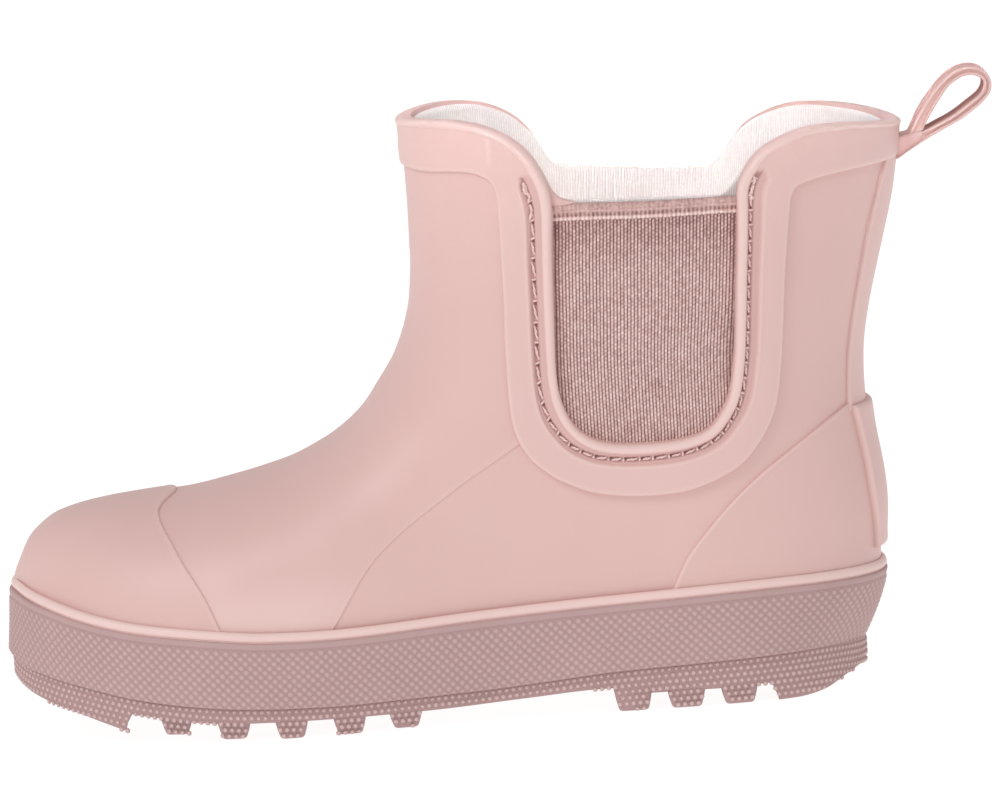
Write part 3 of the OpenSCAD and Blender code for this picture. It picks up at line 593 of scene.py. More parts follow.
def placed(x, z):
    """A nominal x moved so that the ends of the binding's lines lie on the front and back lines."""
    front, back = clamp(1 - (x - FRONT_NOMINAL) / 20), clamp(1 - (REAR_NOMINAL - x) / 20)
    return x + front * (curve(LEG_FRONT, z) - FRONT_NOMINAL) + back * (back_x(z) - REAR_NOMINAL)


def bind_at(t, c):
    """Side-view place at station t and share c from the outer line to the inner line."""
    o, i = along(BIND_OUT, t / BIND_N), along(BIND_IN, t / BIND_N)
    xn = clamp(mix(o[..., 0], i[..., 0], c), FRONT_NOMINAL, REAR_NOMINAL)
    z = mix(o[..., 1], i[..., 1], c)
    return placed(xn, z), z, xn


def bind_stations(step):
    """Station numbers evenly spaced along the middle of the binding on one side."""
    u = np.linspace(0, 1, 6000)
    t = BIND_N * u
    t[t < 1] = t[t < 1] ** 2.3
    rest = BIND_N - t
    t = np.where(rest < 1, BIND_N - np.clip(rest, 0, 1) ** 2.3, t)
    x, z, _ = bind_at(t, 0.5)
    run = lengths(skin(x, z, -1.0))
    return np.interp(np.linspace(0, run[-1], int(run[-1] / step) + 1), run, t)


def bind_profile(t, width):
    """Distances across the binding, and the height and the tone at each, for one station. The tone paints
    highlights on the rounded edge, the groove's lip and the rim bead, and shade in the groove and its stitch
    channel.
    """
    frame_share = float(ease((t - 4) / 3) * (1 - ease((t - 27) / 3)))
    top = mix(1.1, 1.4, frame_share)
    groove, rim, stitch = (float(curve(c, t)) * width for c in (GROOVE_SHARE, RIM_SHARE, STITCH_SHARE))
    d = np.concatenate([
        [0, 0.06, 0.15, 0.28, 0.45, 0.7, 1.05], np.linspace(1.5, groove - 0.8, 6),
        np.linspace(groove - 0.6, width - 1.0, 30), width - np.array([0.8, 0.6, 0.42, 0.27, 0.15, 0.06, 0]),
    ])
    near_end = min(t - GROOVE_ENDS[0], GROOVE_ENDS[1] - t)
    reach = clamp(near_end / 0.42)
    open_share = math.sqrt(max(1 - (1 - reach) ** 2, 0)) if near_end > 0 else 0.0
    middle, half = (groove + rim) / 2, (rim - groove) / 2
    g0, g1 = middle - half * open_share, middle + half * open_share
    cut = ease((d - g0) / 0.5) * (1 - ease((d - g1 + 0.45) / 0.55)) * ease(open_share * 2)
    slope = clamp((d - stitch) / max(g1 - stitch, 0.5)) * 0.25
    channel = np.exp(-(((d - stitch) / 0.6) ** 4)) * ease(open_share * 1.5)
    lip = 0.1 * peak(d, g0 - 0.35, 0.3) * ease(open_share * 2)
    u = clamp((d - rim) / max(width - rim, 0.1))
    bead = 0.3 * np.sin(np.pi * u**0.75) * (u > 0)
    crown = 0.12 * np.sin(np.pi * clamp(d / groove))
    height = top + crown + lip + bead - cut * (0.62 - slope) - 0.4 * channel
    height = height - rounded(d, 0.75) - rounded(width - d, 0.85)
    # Painted highlights on the outer rounded edge, the lip and the rim bead; painted shade in the groove and
    # darker still in the stitch channel.
    tone = 0.15 + 0.35 * peak(d, 0.5, 0.4) + 0.55 * (u > 0) - 0.45 * cut - 0.8 * channel * cut + 2.5 * lip
    return d, height, tone


def binding():
    """Collar, frame and rim: one closed ring of cross-sections round both panels and both collars."""
    stations = bind_stations(0.62)
    sections, tones = [], []
    for k in stations:
        x, z, _ = bind_at(np.full(40, k), np.linspace(0, 1, 40))
        side = -1.0 if 0 < k < BIND_N else 0.0
        run = lengths(skin(x, z, side))
        d, face, tone = bind_profile(k, run[-1])
        wall = float(ease((k - 6) / 3) * (1 - ease((k - 26) / 3)))
        under, foot = mix(SHEET_BACK, -0.3, wall), mix(SHEET_BACK, -1.5, wall)
        inner = [mix(face[-1], foot, q) for q in (0.35, 0.7, 1.0)]
        share = np.interp(d, run, np.linspace(0, 1, 40))
        share = np.concatenate([share, [1, 1, 1, 0.97, 0.8, 0.5, 0.2, 0, 0]])
        height = np.concatenate([face, inner, [foot], [under] * 4, [mix(under, face[0], 0.5)]])
        x, z, xn = bind_at(np.full(len(share), k), share)
        # A raised line up the collar, painted lighter along it as a highlight.
        ridge_highlight = peak(xn, 1.4, 0.4) * ease((z - 121) / 3) * (height > 0)
        sections.append((x, z, side, height + 0.3 * ridge_highlight))
        tones.append(np.concatenate([tone, np.full(9, 0.1)]) + 0.5 * ridge_highlight)
    rows = [skin(*section) for section in sections]
    rows += [skin(x, z, -side, height) for x, z, side, height in sections[-2:0:-1]]
    nodes = ["collar_front", "collar_rear"]
    nodes += ["gore_frame_outer", "gore_frame_inner", "gore_rim_outer", "gore_rim_inner"]
    ring_piece("binding_moulding", np.array(rows), rubber_upper, nodes, np.array(tones + tones[-2:0:-1]))


binding()


# ------------ stitching in the groove
rng = np.random.default_rng(8)


def tube(path, radius, sides=7):
    """Points and faces of a round closed tube along a path; radius may change along it."""
    path = np.asarray(path, float)
    ahead = np.gradient(path, axis=0)
    ahead /= np.linalg.norm(ahead, axis=1, keepdims=True)
    aside = np.cross(ahead, np.array([0.31, 0.17, 0.93]))
    aside /= np.linalg.norm(aside, axis=1, keepdims=True)
    other = np.cross(ahead, aside)
    a = np.linspace(0, 2 * math.pi, sides, endpoint=False)
    ring = aside[:, None] * np.cos(a)[None, :, None] + other[:, None] * np.sin(a)[None, :, None]
    points = path[:, None] + ring * np.broadcast_to(radius, len(path))[:, None, None]
    return points.reshape(-1, 3), capped(len(path), sides)


def joined(parts):
    """One list of points, faces and tones out of several (points, faces, tone)."""
    points, faces, tones, at = [], [], [], 0
    for p, f, tone in parts:
        points.append(p)
        faces += [g + at for g in f]
        tones.append(np.full(len(p), tone, float) if np.ndim(tone) == 0 else tone)
        at += len(p)
    return np.concatenate(points), faces, np.concatenate(tones)


def groove_place(k, off=0.0):
    """Side-view place at station k on the stitch line, or off it by a share of the binding's width."""
    return bind_at(k, curve(STITCH_SHARE, k) + off)[:2]


def sewn(side, start, end, t, run, turn, lift, cross=0.0):
    """Two twisted plies over the groove between two distances on the stitch line."""
    u = np.linspace(0, 1, 13)
    k = np.interp(mix(start, end, u), run, t)
    off = (u - 0.5) * math.tan(math.radians(turn)) * (end - start) + cross
    x, z = groove_place(k, off / 11.5)
    rise = lift * (1 - (2 * u - 1) ** 4)
    arc = skin(x, z, side, 0.22 + rise)
    out = normal(x, z, side)
    ahead = np.gradient(arc, axis=0)
    ahead /= np.linalg.norm(ahead, axis=1, keepdims=True)
    over = np.cross(ahead, out)
    plies = []
    for phase in (0, math.pi):
        a = 2 * math.pi * 1.1 * u + phase
        path = arc + 0.14 * (over * np.cos(a)[:, None] + 0.8 * out * np.sin(a)[:, None])
        points, faces = tube(path, 0.19 * (1 - 0.45 * np.abs(2 * u - 1) ** 5))
        # Each ply is painted lighter where the twist brings it outward and darker where it dips: painted
        # highlight and shade.
        plies.append((points, faces, 0.15 + 0.5 * np.repeat(np.sin(a), 7)))
    return plies


def stitches(side, name, node):
    """Stitches with a dark tube of painted shade in each needle hole and a crossing thread between them, and
    loose tangled thread at both ends.
    """
    t = np.linspace(GROOVE_ENDS[0] + 0.12, GROOVE_ENDS[1] - 0.12, 900)
    run = lengths(skin(*groove_place(t), side))
    parts, at = [], 1.2
    while at < run[-1] - 2.5:
        k = np.interp(at, run, t)
        pitch = mix(4.5, 3.3, ease((k - 11.5) / 3)) * (1 + 0.05 * rng.standard_normal())
        parts += sewn(side, at, at + pitch - 1.0, t, run, 8 + 3 * rng.standard_normal(), 0.5)
        aim, hole = (skin(*groove_place(k, 0.01), side, height) for height in (0.3, 0.5))
        # A dark tube standing for the shade in the needle hole: painted shade.
        parts.append((*tube([aim, mix(aim, hole, 0.5), hole], [0.4, 0.42, 0.36], 9), -2.0))
        knot = np.full(5, np.interp(at + pitch - 1.0 + 0.35, run, t))
        x, z = groove_place(knot, np.linspace(-0.05, 0.05, 5))
        arch = skin(x, z, side, 0.35 + 0.35 * np.array([0, 0.8, 1, 0.8, 0]))
        parts.append((*tube(arch, [0.15, 0.24, 0.26, 0.24, 0.15]), 0.5))
        at += pitch
    for low, high in ((0.2, 8.5), (run[-1] - 7, run[-1] - 0.2)):
        for _ in range(9):
            a = rng.uniform(low, high - 1.2)
            end, turn = a + rng.uniform(0.8, 1.8), rng.uniform(-55, 55)
            parts += sewn(side, a, end, t, run, turn, rng.uniform(0.6, 0.95), rng.uniform(-0.35, 0.35))
    points, faces, tone = joined(parts)
    piece(name, points, faces, thread, [node], tone, sharp=60, merge=0.0001, slot="rubber_upper")


stitches(-1.0, "stitching_outer", "gore_stitches_outer")
stitches(1.0, "stitching_inner", "gore_stitches_inner")


# ------------ elastic panels
RIBS = 54
BEAD_PITCH = 0.85
GORE_TOP = 109.9
SIDE_FRONT = [(59, 12.2), (77, 12.2), (88, 12.5), (100, 12.9), (106, 13.3), (114, 13.6)]
SIDE_REAR = [(59, 51.4), (77, 51.7), (88, 52.8), (100, 53.8), (106, 54.2), (114, 54.8)]
U_LOW = [
    (12, 77.5), (12.4, 75), (13, 70), (15, 64.7), (18.2, 61.3), (22.8, 59.5), (30, 58.8), (38.9, 59.2),
    (44.9, 60.9), (48.5, 64.6), (50.7, 69.2), (52, 76.5), (52.6, 79),
]


def gore_place(v, z):
    return mix(curve(SIDE_FRONT, z), curve(SIDE_REAR, z), v)


def elastic(side, name, node):
    """The webbing's field: upright ribs, with beads of yarn that sit half a pitch off from rib to rib."""
    v = np.linspace(0, 1, RIBS * 4 + 1)
    low = np.full(len(v), 65.0)
    for _ in range(12):
        low = curve(U_LOW, gore_place(v, low))
    z = mix(low, GORE_TOP, np.linspace(0, 1, 196)[:, None])
    x = gore_place(v, z)
    rib = v * RIBS + 0 * z
    number = np.floor(rib).astype(int)
    across = np.abs(np.sin(np.pi * rib)) ** 0.55
    turn = z / BEAD_PITCH + (number % 2) / 2
    chance = np.random.default_rng(3).uniform(-1, 1, (RIBS + 2, 200))
    chance = chance[number, np.floor(turn + 0.5).astype(int)]
    beads = 0.5 + 0.5 * np.cos(2 * math.pi * turn)
    height = -1.45 + across * (0.3 * (0.6 + 0.4 * beads) + 0.03 * chance)
    edge = np.minimum(x - curve(SIDE_FRONT, z), curve(SIDE_REAR, z) - x)
    # Painted shade in the gaps between ribs and painted highlights on the beads, with random tone by chance;
    # then painted shade along the panel's edges under the rim and towards the top under the hem.
    tone = mix(-1.1, 0.3, across) + across * (0.75 * (beads - 0.5) + 0.25 * chance)
    tone = tone - 0.5 * peak(edge, 0, 1.4) - 0.4 * ease((z - 96) / 14)
    o = layer(name, x, z, side, height, -2.35, tone, webbing, [node], sharp=80)


def hem(side, name, node):
    """The folded top of the elastic: a roll painted light on top and darker on its under half as painted
    highlight and shade, then a row of holes painted dark as shade.
    """
    v = np.linspace(0, 1, RIBS * 4 + 1)
    # Rows: height up from the hem's line, height off the skin, and tone, which paints the roll's top light
    # and its under half dark as painted highlight and shade.
    profile = [
        (-0.5, -1.6, -0.9), (-0.35, -1.15, -0.6), (-0.1, -1.0, 0.35), (0.15, -0.98, 0.45), (0.4, -1.1, 0.1),
        (0.6, -1.2, -0.5), (0.9, -1.2, -0.6), (1.2, -1.12, -0.5), (1.5, -0.95, -0.25), (1.75, -0.8, 0.0),
        (2.05, -0.7, -0.3), (2.4, -0.64, -0.2), (2.8, -0.66, -0.2), (3.15, -0.8, -0.35), (3.35, -1.05, -0.3),
        (3.4, -1.5, -0.6), (3.3, -2.1, -0.6), (3.0, -2.5, -0.6), (0.4, -2.6, -0.6), (-0.4, -2.4, -0.6),
    ]
    rows, tones = [], []
    for up, height, tone in profile:
        z = GORE_TOP - 0.1 - 0.7 * v + 0.1 * np.sin(v * 9) + up
        # Small bumps and dips, painted lighter on the bumps and darker in the dips as highlight and shade.
        dots = np.sin(2 * math.pi * v * RIBS * 0.8) * (0.4 if up < 1.3 else 0.1) * (height > -1.5)
        rows.append(skin(gore_place(v, z), z, side, height + 0.1 * dots))
        tones.append(tone + dots + 0.1 * np.sin(v * 61) * np.sin(v * 23))
    grid = np.array(rows).transpose(1, 0, 2)
    piece(name, grid, capped(*grid.shape[:2]), webbing, [node], np.array(tones).T, sharp=60)


def web(side, name):
    """The small rubber web in the front upper corner of the panel."""
    u, w = np.linspace(0, 1, 15), np.linspace(0, 1, 8)
    edge = along([(12.6, 119.0), (13.7, 116.6), (14.9, 115.1), (16.6, 114.2), (19, 113.6)], u)
    heel = along([(12.4, 118.0), (12.4, 115), (12.6, 113), (15, 112.9), (18.6, 113.3)], u)
    x, z = mix(heel[:, None], edge[:, None], w[None, :, None]).transpose(2, 0, 1)
    drop = rounded((1 - w) * 2.5, 0.5) + 0 * x
    points, faces = shell(x, z, side, -0.85 - drop, -1.95)
    piece(name, points, faces, rubber_upper, tone=np.full(len(points), -0.1))


for sign, word in ((-1.0, "outer"), (1.0, "inner")):
    elastic(sign, "elastic_" + word, "gore_" + word)
    hem(sign, "hem_" + word, "gore_hem_" + word)
    web(sign, "corner_web_" + word)


# ------------ lining
LINING_TOP = [
    (-18, 130.9), (-12, 131.4), (-6, 131.2), (-0.6, 130.1), (6, 126.9), (10.7, 121.8), (13.5, 116.2),
    (16, 114.3), (24, 113.6), (34, 113.4), (46, 113), (52, 113), (54.6, 114.5), (58, 119.4), (63.3, 123.2),
    (72.4, 125.5), (84, 124.8), (92, 123.4),
]
FRONT_LINE = TOP_LINE[1:] + INSTEP_LINE[4:-2] + INSTEP_LINE[-1:]
FRONT_BY_Z = [(18, -110.4), (30, -110.3)] + [(z, x) for x, z in FRONT_LINE]


def front_x(z):
    return np.interp(z, *np.array(FRONT_BY_Z).T)


def lining():
    """A knitted sock on the inner face of the rubber, open at the top."""
    zn = np.concatenate([np.linspace(20, 58, 60)[:-1], np.linspace(58, 132, 91)])[:, None]
    u = np.linspace(0, 1, 130)
    f = (1 - np.cos(np.pi * u)) / 2
    x = mix(front_x(zn), back_x(zn), f)
    high = zn > 100
    z = np.where(high, 100 + clamp((zn - 100) / 32) * (curve(LINING_TOP, x) - 100), zn + 0 * x)
    from_front = curve(LEG_FRONT, z) + clamp(x - FRONT_NOMINAL, 0, 200)
    x = np.where(high, mix(from_front, back_x(z) - (back_x(zn) - x), ease(f)), x)
    side = np.where((u == 0) | (u == 1), 0.0, -1.0) + 0 * x
    both = ((x, 1), (z, 1), (side, -1))
    x, z, side = (np.concatenate([a, sign * a[:, -2:0:-1]], axis=1) for a, sign in both)
    z = z + 1.3 * (side > 0) * ease((z - 104) / 8) * ease((x - 8) / 6) * (1 - ease((x - 16) / 26))
    behind_panel = ease((x - 8) / 5) * (1 - ease((x - 54) / 5)) * ease((z - 55) / 5)
    face = -2.45 - 0.35 * behind_panel
    lip = rounded(131.9 - zn, 0.5)
    outer, inner = skin(x, z, side, face - lip), skin(x, z, side, face - 1.0 + lip)
    m, n = x.shape
    around = np.broadcast_to(lengths(outer[int(m * 0.9)]), (m, n)).ravel()
    k = np.arange(n)
    k1 = (k + 1) % n
    wall = np.stack([k, k1, k1 + m * n, k + m * n], axis=-1)
    faces = [quads(m, n, start, False, True) for start in (0, m * n)] + [wall, wall + (m - 1) * n]
    nodes = ["lining_front", "lining_outer", "lining_inner", "gore_lining_outer", "gore_lining_inner"]
    piece("lining_sock", np.concatenate([outer, inner]), faces, knit, nodes, rib=np.tile(around, 2))


lining()


# ------------ sole
PLAN_Z = 22.0
BAND_TOP = [
    (-113, 32), (-109.5, 32), (-108.2, 31.6), (-106.5, 31), (-104.5, 30.4), (-101.3, 29.5), (-98, 28.5),
    (-94, 27.3), (-89.7, 26.2), (-82, 24.7), (-66, 22.8), (-55, 21.7), (-36, 21.4), (-8, 22.7), (23, 24),
    (54, 25), (84, 24.8),
]
BAND_LOW = [
    (-113, 18.7), (-110.4, 18.2), (-108.1, 16.6), (-106, 15.7), (-103.5, 15), (-99.4, 13.8), (-95, 12.8),
    (-90.8, 11.8), (-84, 10.3), (-71.3, 8.4), (-58.8, 7.3), (-42, 6.7), (-30, 6.8), (-8, 7.3), (6, 8.1),
    (22, 9.2), (53, 10.2), (70, 10.1), (84, 9),
]
PLATE_LOW = [
    (-113, 15.6), (-100, 12), (-86, 7), (-79, 5.9), (-72, 4.8), (-60, 4), (-20, 3.7), (0, 4.5), (20, 5.4),
    (30, 4.2), (60, 4), (70, 4), (84, 6),
]
TOE_LOW = [(-113, 16.6), (-110, 12.2), (-103, 8.6), (-95, 5.9), (-87, 3.2), (-84, 2.2)]
HEEL_LOW = [(50, 0), (62, 0), (69, 0.8), (74, 2.4), (79, 3.8), (84, 5)]
BOARD_LINE = [(-113, 17.9), (-100, 16.8), (-85, 15.2), (-65, 14.2), (0, 14), (40, 14.6), (84, 15.4)]
PLAN_END = float(back_x(PLAN_Z))


def heel_in(x):
    """How far the tread and the sidewall's foot draw in round the heel."""
    return 4 * ease((x - 45) / 35) ** 2


def outline(count):
    """Points round the sole evenly spaced, their outward directions in plan, and their side-view x."""
    a = np.linspace(0, 2 * math.pi, 12001)
    x = mix(TOE_X, PLAN_END, (1 - np.cos(a)) / 2)
    side = np.where(a < math.pi, -1.0, 1.0)
    p = skin(x, PLAN_Z, side)[:, :2]
    run = lengths(p)
    at = np.linspace(0, run[-1], count, endpoint=False)
    q = np.stack([np.interp(at, run, p[:, k]) for k in (0, 1)], axis=1)
    ahead = np.roll(q, -2, axis=0) - np.roll(q, 2, axis=0)
    out = np.stack([ahead[:, 1], -ahead[:, 0]], axis=1)
    out *= np.sign((out * (q - [-15, 0])).sum(axis=1))[:, None]
    out /= np.linalg.norm(out, axis=1, keepdims=True)
    return q, out, np.interp(at, run, x), run[-1]


def band_low(x):
    return curve(BAND_LOW, x)


def plate_low(x):
    return curve(PLATE_LOW, x)


def toe_low(x):
    return curve(TOE_LOW, x)


def heel_low(x):
    return np.maximum(curve(HEEL_LOW, x), 0)


def tip_share(x):
    """0 along the sole, rising to 1 at the toe's tip."""
    return ease((-96 - x) / 14)


def sidewall():
    """The band round the sole: a smooth strip on top, then a diamond pattern of rounded studs."""
    step, fine = 1.02, 3
    count = 2 * int(outline(400)[3] / step / 2) * fine
    cells = 13 * fine
    q, out, x, _ = outline(count)
    x = x[:, None]
    top, low = curve(BAND_TOP, x), band_low(x)
    u = np.arange(count)[:, None] / fine
    v = np.arange(cells + 1)[None, :] / fine
    stud = (np.cos(np.pi * (u + v) / 2) * np.cos(np.pi * (u - v) / 2)) ** 2
    stud = stud**0.7 * ease(v / 0.8)
    above = [
        (0, -1.2), (0, 1.3), (0.02, 1.75), (0.1, 2.0), (0.25, 2.13), (0.5, 2.18), (0.9, 2.17), (1.2, 2.12)
    ]
    below = [(0.1, 1.9), (0, 1.75), (0, -1.2)]
    knurl_z = mix(top - 1.5, low + 0.25, v * fine / cells)
    z = np.concatenate([top - d for d, _ in above] + [knurl_z] + [low + d for d, _ in below], axis=1)
    plain = [[0 * x + o for _, o in part] for part in (above, below)]
    outset = np.concatenate(plain[0] + [2.0 + 0.34 * stud] + plain[1], axis=1)
    down, tip = clamp((top - z) / (top - low)), tip_share(x)
    tuck = (0.5 - tip) * down**2 + 1.4 * heel_in(x) * down**1.4 + 0.6 * tip * (1 - down)
    grid = np.concatenate([q[:, None] + (outset - tuck)[..., None] * out[:, None], z[..., None]], axis=-1)
    tone = np.zeros(z.shape)
    tone[:, :len(above)] = 0.02
    # Painted highlights on the studs' tops and painted shade between them.
    tone[:, len(above):-len(below)] = mix(-0.32, 0.75, stud)
    ring_piece("knurled_sidewall", grid, rubber_sole, ["sidewall_band"], tone, sharp=75)


def bead_ring():
    """The roll on top of the sidewall, painted lighter as a highlight, with a lip that runs up onto the
    sheets.
    """
    q, out, x, _ = outline(420)
    share = clamp((x - TOE_X) / (PLAN_END - TOE_X))
    top = curve(BAND_TOP, x)
    z = top + 1.7
    xs = mix(front_x(z), back_x(z), share)
    side = np.where(np.arange(len(x)) < len(x) / 2, -1.0, 1.0)
    side[0] = 0
    inner, lip = skin(xs, z, side, -1.0), skin(xs, z, side, 0.75)
    turn = np.radians(np.linspace(-55, 90, 12))
    roll = [(0.95 + 1.12 * math.cos(a), 1.05 + 1.15 * math.sin(a)) for a in turn]
    rows = []
    for outset, up in [(0.6, -0.6), (1.7, -0.35)] + roll:
        flat = q + (outset - 1.0 * tip_share(x)[:, None]) * out
        rows.append(np.concatenate([flat, (top + up)[:, None]], axis=1))
    rows += [mix(rows[-1], lip, 0.5) + [0, 0, 0.12], lip, inner, inner - [0, 0, 1.6]]
    grid = np.array(rows).transpose(1, 0, 2)
    # Painted highlight round the roll, strongest on its top, and painted shade in the crease at the lip.
    tone = [-0.2, 0.1, *(0.75 + 0.2 * np.sin(np.linspace(-1.3, 1.57, 12))), 0.5, -0.35, 0, 0]
    ring_piece("foxing_bead_ring", grid, rubber_upper, ["foxing_bead"], np.tile(tone, (len(grid), 1)))


def plan_at(x, side, outset):
    """Point of the sole's outline at x on a side, moved outwards."""
    x = np.asarray(x, float)
    n = normal(x, PLAN_Z, side)[..., :2]
    n = n / np.linalg.norm(n, axis=-1, keepdims=True)
    return skin(x, PLAN_Z, side)[..., :2] + np.asarray(outset, float)[..., None] * n


def slab(x0, x1, count, sections, slant=(0, 0)):
    """A block across the sole. sections is a closed list of (side, outset(x), height(x), share down);
    slant moves the block's lower corners in at its two ends."""
    f = (1 - np.cos(np.linspace(0, math.pi, count))) / 2
    rows = []
    for side, outset, height, down in sections:
        x = mix(x0 + slant[0] * down, x1 - slant[1] * down, f)
        rows.append(np.concatenate([plan_at(x, float(side), outset(x)), height(x)[:, None]], axis=1))
    grid = np.array(rows).transpose(1, 0, 2)
    return grid.reshape(-1, 3), capped(*grid.shape[:2]), -0.3


def bevelled(low, high, bevel):
    """The cross-section of a slab as wide as the tread, with rounded lower edges."""

    def corner(side, inset, up):
        return side, lambda x: tread_out(x) - bevel * inset, lambda x: low(x) + bevel * up, 1

    steps = [(0, 1.0), (0.12, 0.5), (0.4, 0.15), (1.0, 0.0)]
    left, right = ([(side, tread_out, high, 0)] + [corner(side, *step) for step in steps] for side in (-1, 1))
    return left + right[::-1]


def tread_out(x):
    """How far the tread stands out from the sole's outline."""
    return 0.3 - heel_in(x) + 1.2 * tip_share(x)


TIP = 0.12
STUD_STEP, STUD_ROW, STUD_SIDES = 1.5, 1.36, 8
# Each stud's tone is painted shade at its foot and a painted highlight on its top.
STUD_RINGS = [(0.56, -0.15, -0.3), (0.5, 0.12, 0.25), (0.28, 0.3, 0.85)]     # radius, height, tone


def studs(x0, x1, low, high, slant=0.0, draft=0.0):
    """Small domes over the tread's side, between two x and two height functions. slant and draft are how
    much the ends and the face draw in per mm below the top."""
    q, out, xs, _ = outline(int(outline(400)[3] / STUD_STEP) * 2)
    a = np.linspace(0, 2 * math.pi, STUD_SIDES, endpoint=False)
    parts = []
    for k, x in enumerate(xs):
        if not x0 < x < x1:
            continue
        roof, ground, base = float(high(x)), float(low(x)), float(band_low(x)) - 0.75
        n, t = np.append(out[k], 0), np.array([-out[k][1], out[k][0], 0])
        around = np.cos(a)[:, None] * t + np.sin(a)[:, None] * np.array([0, 0, 1])
        for row in range(14):
            z = base - STUD_ROW * row
            if (k + row) % 2 or z > roof or z < ground + (0.4 if ground < 1.2 else 0):
                continue
            end = slant * (roof - z) + 0.5
            if not x0 + end < x < x1 - end:
                continue
            c = np.append(q[k] + (tread_out(x) - draft * (roof - z)) * out[k], z)
            size = 1 + 0.08 * math.sin(12.9 * k + 7.7 * row)
            points = np.concatenate([c + up * n + size * r * around for r, up, _ in STUD_RINGS])
            tone = np.repeat([tone for _, _, tone in STUD_RINGS], STUD_SIDES)
            parts.append((points, capped(len(STUD_RINGS), STUD_SIDES), tone))
    return parts


def tread_piece(name, node, parts):
    points, faces, tone = joined(parts)
    piece(name, points, faces, rubber_sole, [node], tone)


def outsole():
    """The plate under the whole sole, the toe block with its cross ribs, and the heel block."""
    start, end = TOE_X + TIP, PLAN_END - TIP
    over_plate = lambda x: plate_low(x) + 0.8
    block = slab(start, end, 140, bevelled(plate_low, lambda x: band_low(x) + 0.4, 0.4))
    tread_piece("outsole_plate_rubber", "outsole_plate", [block] + studs(-112, 90, plate_low, band_low))
    block = slab(start, -84.5, 60, bevelled(toe_low, over_plate, 0.5), (0, 2.2))
    bars = [groove_bar(x, 0.9) for x in (-104, -98, -92.5)]
    tread_piece("toe_bumper", "toe_block", [block] + bars + studs(-112, -84.5, toe_low, plate_low, 0.3))
    block = slab(55.2, end, 60, bevelled(heel_low, over_plate, 0.5), (1.9, 0))
    tread_piece("heel_block_rubber", "heel_block", [block] + studs(55.2, 90, heel_low, plate_low, 0.1))


def groove_bar(x, half):
    """A rib across the toe block, standing a little below it."""
    y0, y1 = (float(plan_at(x, side, -1.5)[1]) for side in (-1.0, 1.0))
    return lug(x, half, y0, y1, toe_low(x) + 1.0, toe_low(x), 0.3, 0.1)


def lug(x, half, y0, y1, top, floor, draft, tone):
    """A lug over a rectangle; y0 and y1 may each be a pair, one for each end in x."""
    (a0, b0), (a1, b1) = (y if np.ndim(y) else (y, y) for y in (y0, y1))
    corners = [(x - half, a0), (x + half, b0), (x + half, b1), (x - half, a1)]
    return (*lug_shape(corners, top, floor, draft), tone)


def lug_shape(corners, top, floor, draft):
    """A block with rounded corners, drafted sides and a bevelled foot over a four-cornered plan."""
    c = np.asarray(corners, float)
    a = np.linspace(0, 2 * math.pi, 40, endpoint=False) + 0.01
    power = 2 / (2 + 1 / 0.14)
    ux = np.sign(np.cos(a)) * np.abs(np.cos(a)) ** power
    uy = np.sign(np.sin(a)) * np.abs(np.sin(a)) ** power
    size = np.array([np.linalg.norm(c[1] - c[0]), np.linalg.norm(c[3] - c[0])])
    rings = []
    for inset, z in (
        (0, top), (draft * 0.45, mix(top, floor, 0.55)), (draft * 0.85, floor + 0.45), (draft, floor + 0.16),
        (draft + 0.3, floor), (draft + 1.2, floor), (min(size) / 2 - 0.05, floor),
    ):
        u = ((ux * (1 - 2 * inset / size[0]) + 1) / 2)[:, None]
        v = ((uy * (1 - 2 * inset / size[1]) + 1) / 2)[:, None]
        p = c[0] * ((1 - u) * (1 - v)) + c[1] * (u * (1 - v)) + c[2] * (u * v) + c[3] * ((1 - u) * v)
        rings.append(np.concatenate([p, np.full((len(p), 1), z)], axis=1))
    return np.array(rings).reshape(-1, 3), capped(len(rings), len(a))


def lug_row(x, half, floor, length, middle):
    """Lugs at both edges of the tread at x, and one between this row and the next."""
    parts, ends = [], []
    for side in (-1.0, 1.0):
        edge = plan_at(np.array([x - half, x + half]), side, np.full(2, tread_out(x) + 0.02))[:, 1]
        tip = -side * length + (edge.min() if side > 0 else edge.max())
        parts.append(lug(x, half, edge, tip, float(plate_low(x)) + 0.7, floor, 1.2, -0.3))
        ends.append(edge.mean())
    if middle > 0:
        y = sum(ends) / 2
        xm = x + middle
        top = float(plate_low(xm)) + 0.7
        parts.append(lug(xm, half, y - length / 2, y + length / 2, top, 0.0, 1.2, -0.1))
    return parts


# rows of lugs: x, half width, height of the foot above the ground, length, distance to the middle lug
FOREFOOT_ROWS = [
    (-75.3, 3.6, 2, 17, 6.3), (-62.7, 3.8, 0.6, 19, 6.3), (-50.1, 3.8, 0, 20, 6.3), (-37.4, 3.8, 0, 19, 6.2),
    (-25.1, 3.8, 0.3, 17, 0),
]
HEEL_ROWS = [(25, 4.4, 0, 15, 5.9), (36.7, 4.4, 0, 15, 5.9), (48.4, 4.3, 0, 15, 0)]


def lugs(name, node, rows):
    parts = []
    for row in rows:
        x, half, floor = row[:3]
        parts += lug_row(*row) + studs(x - half, x + half, lambda _: floor, plate_low, 0.22, 0.22)
    tread_piece(name, node, parts)


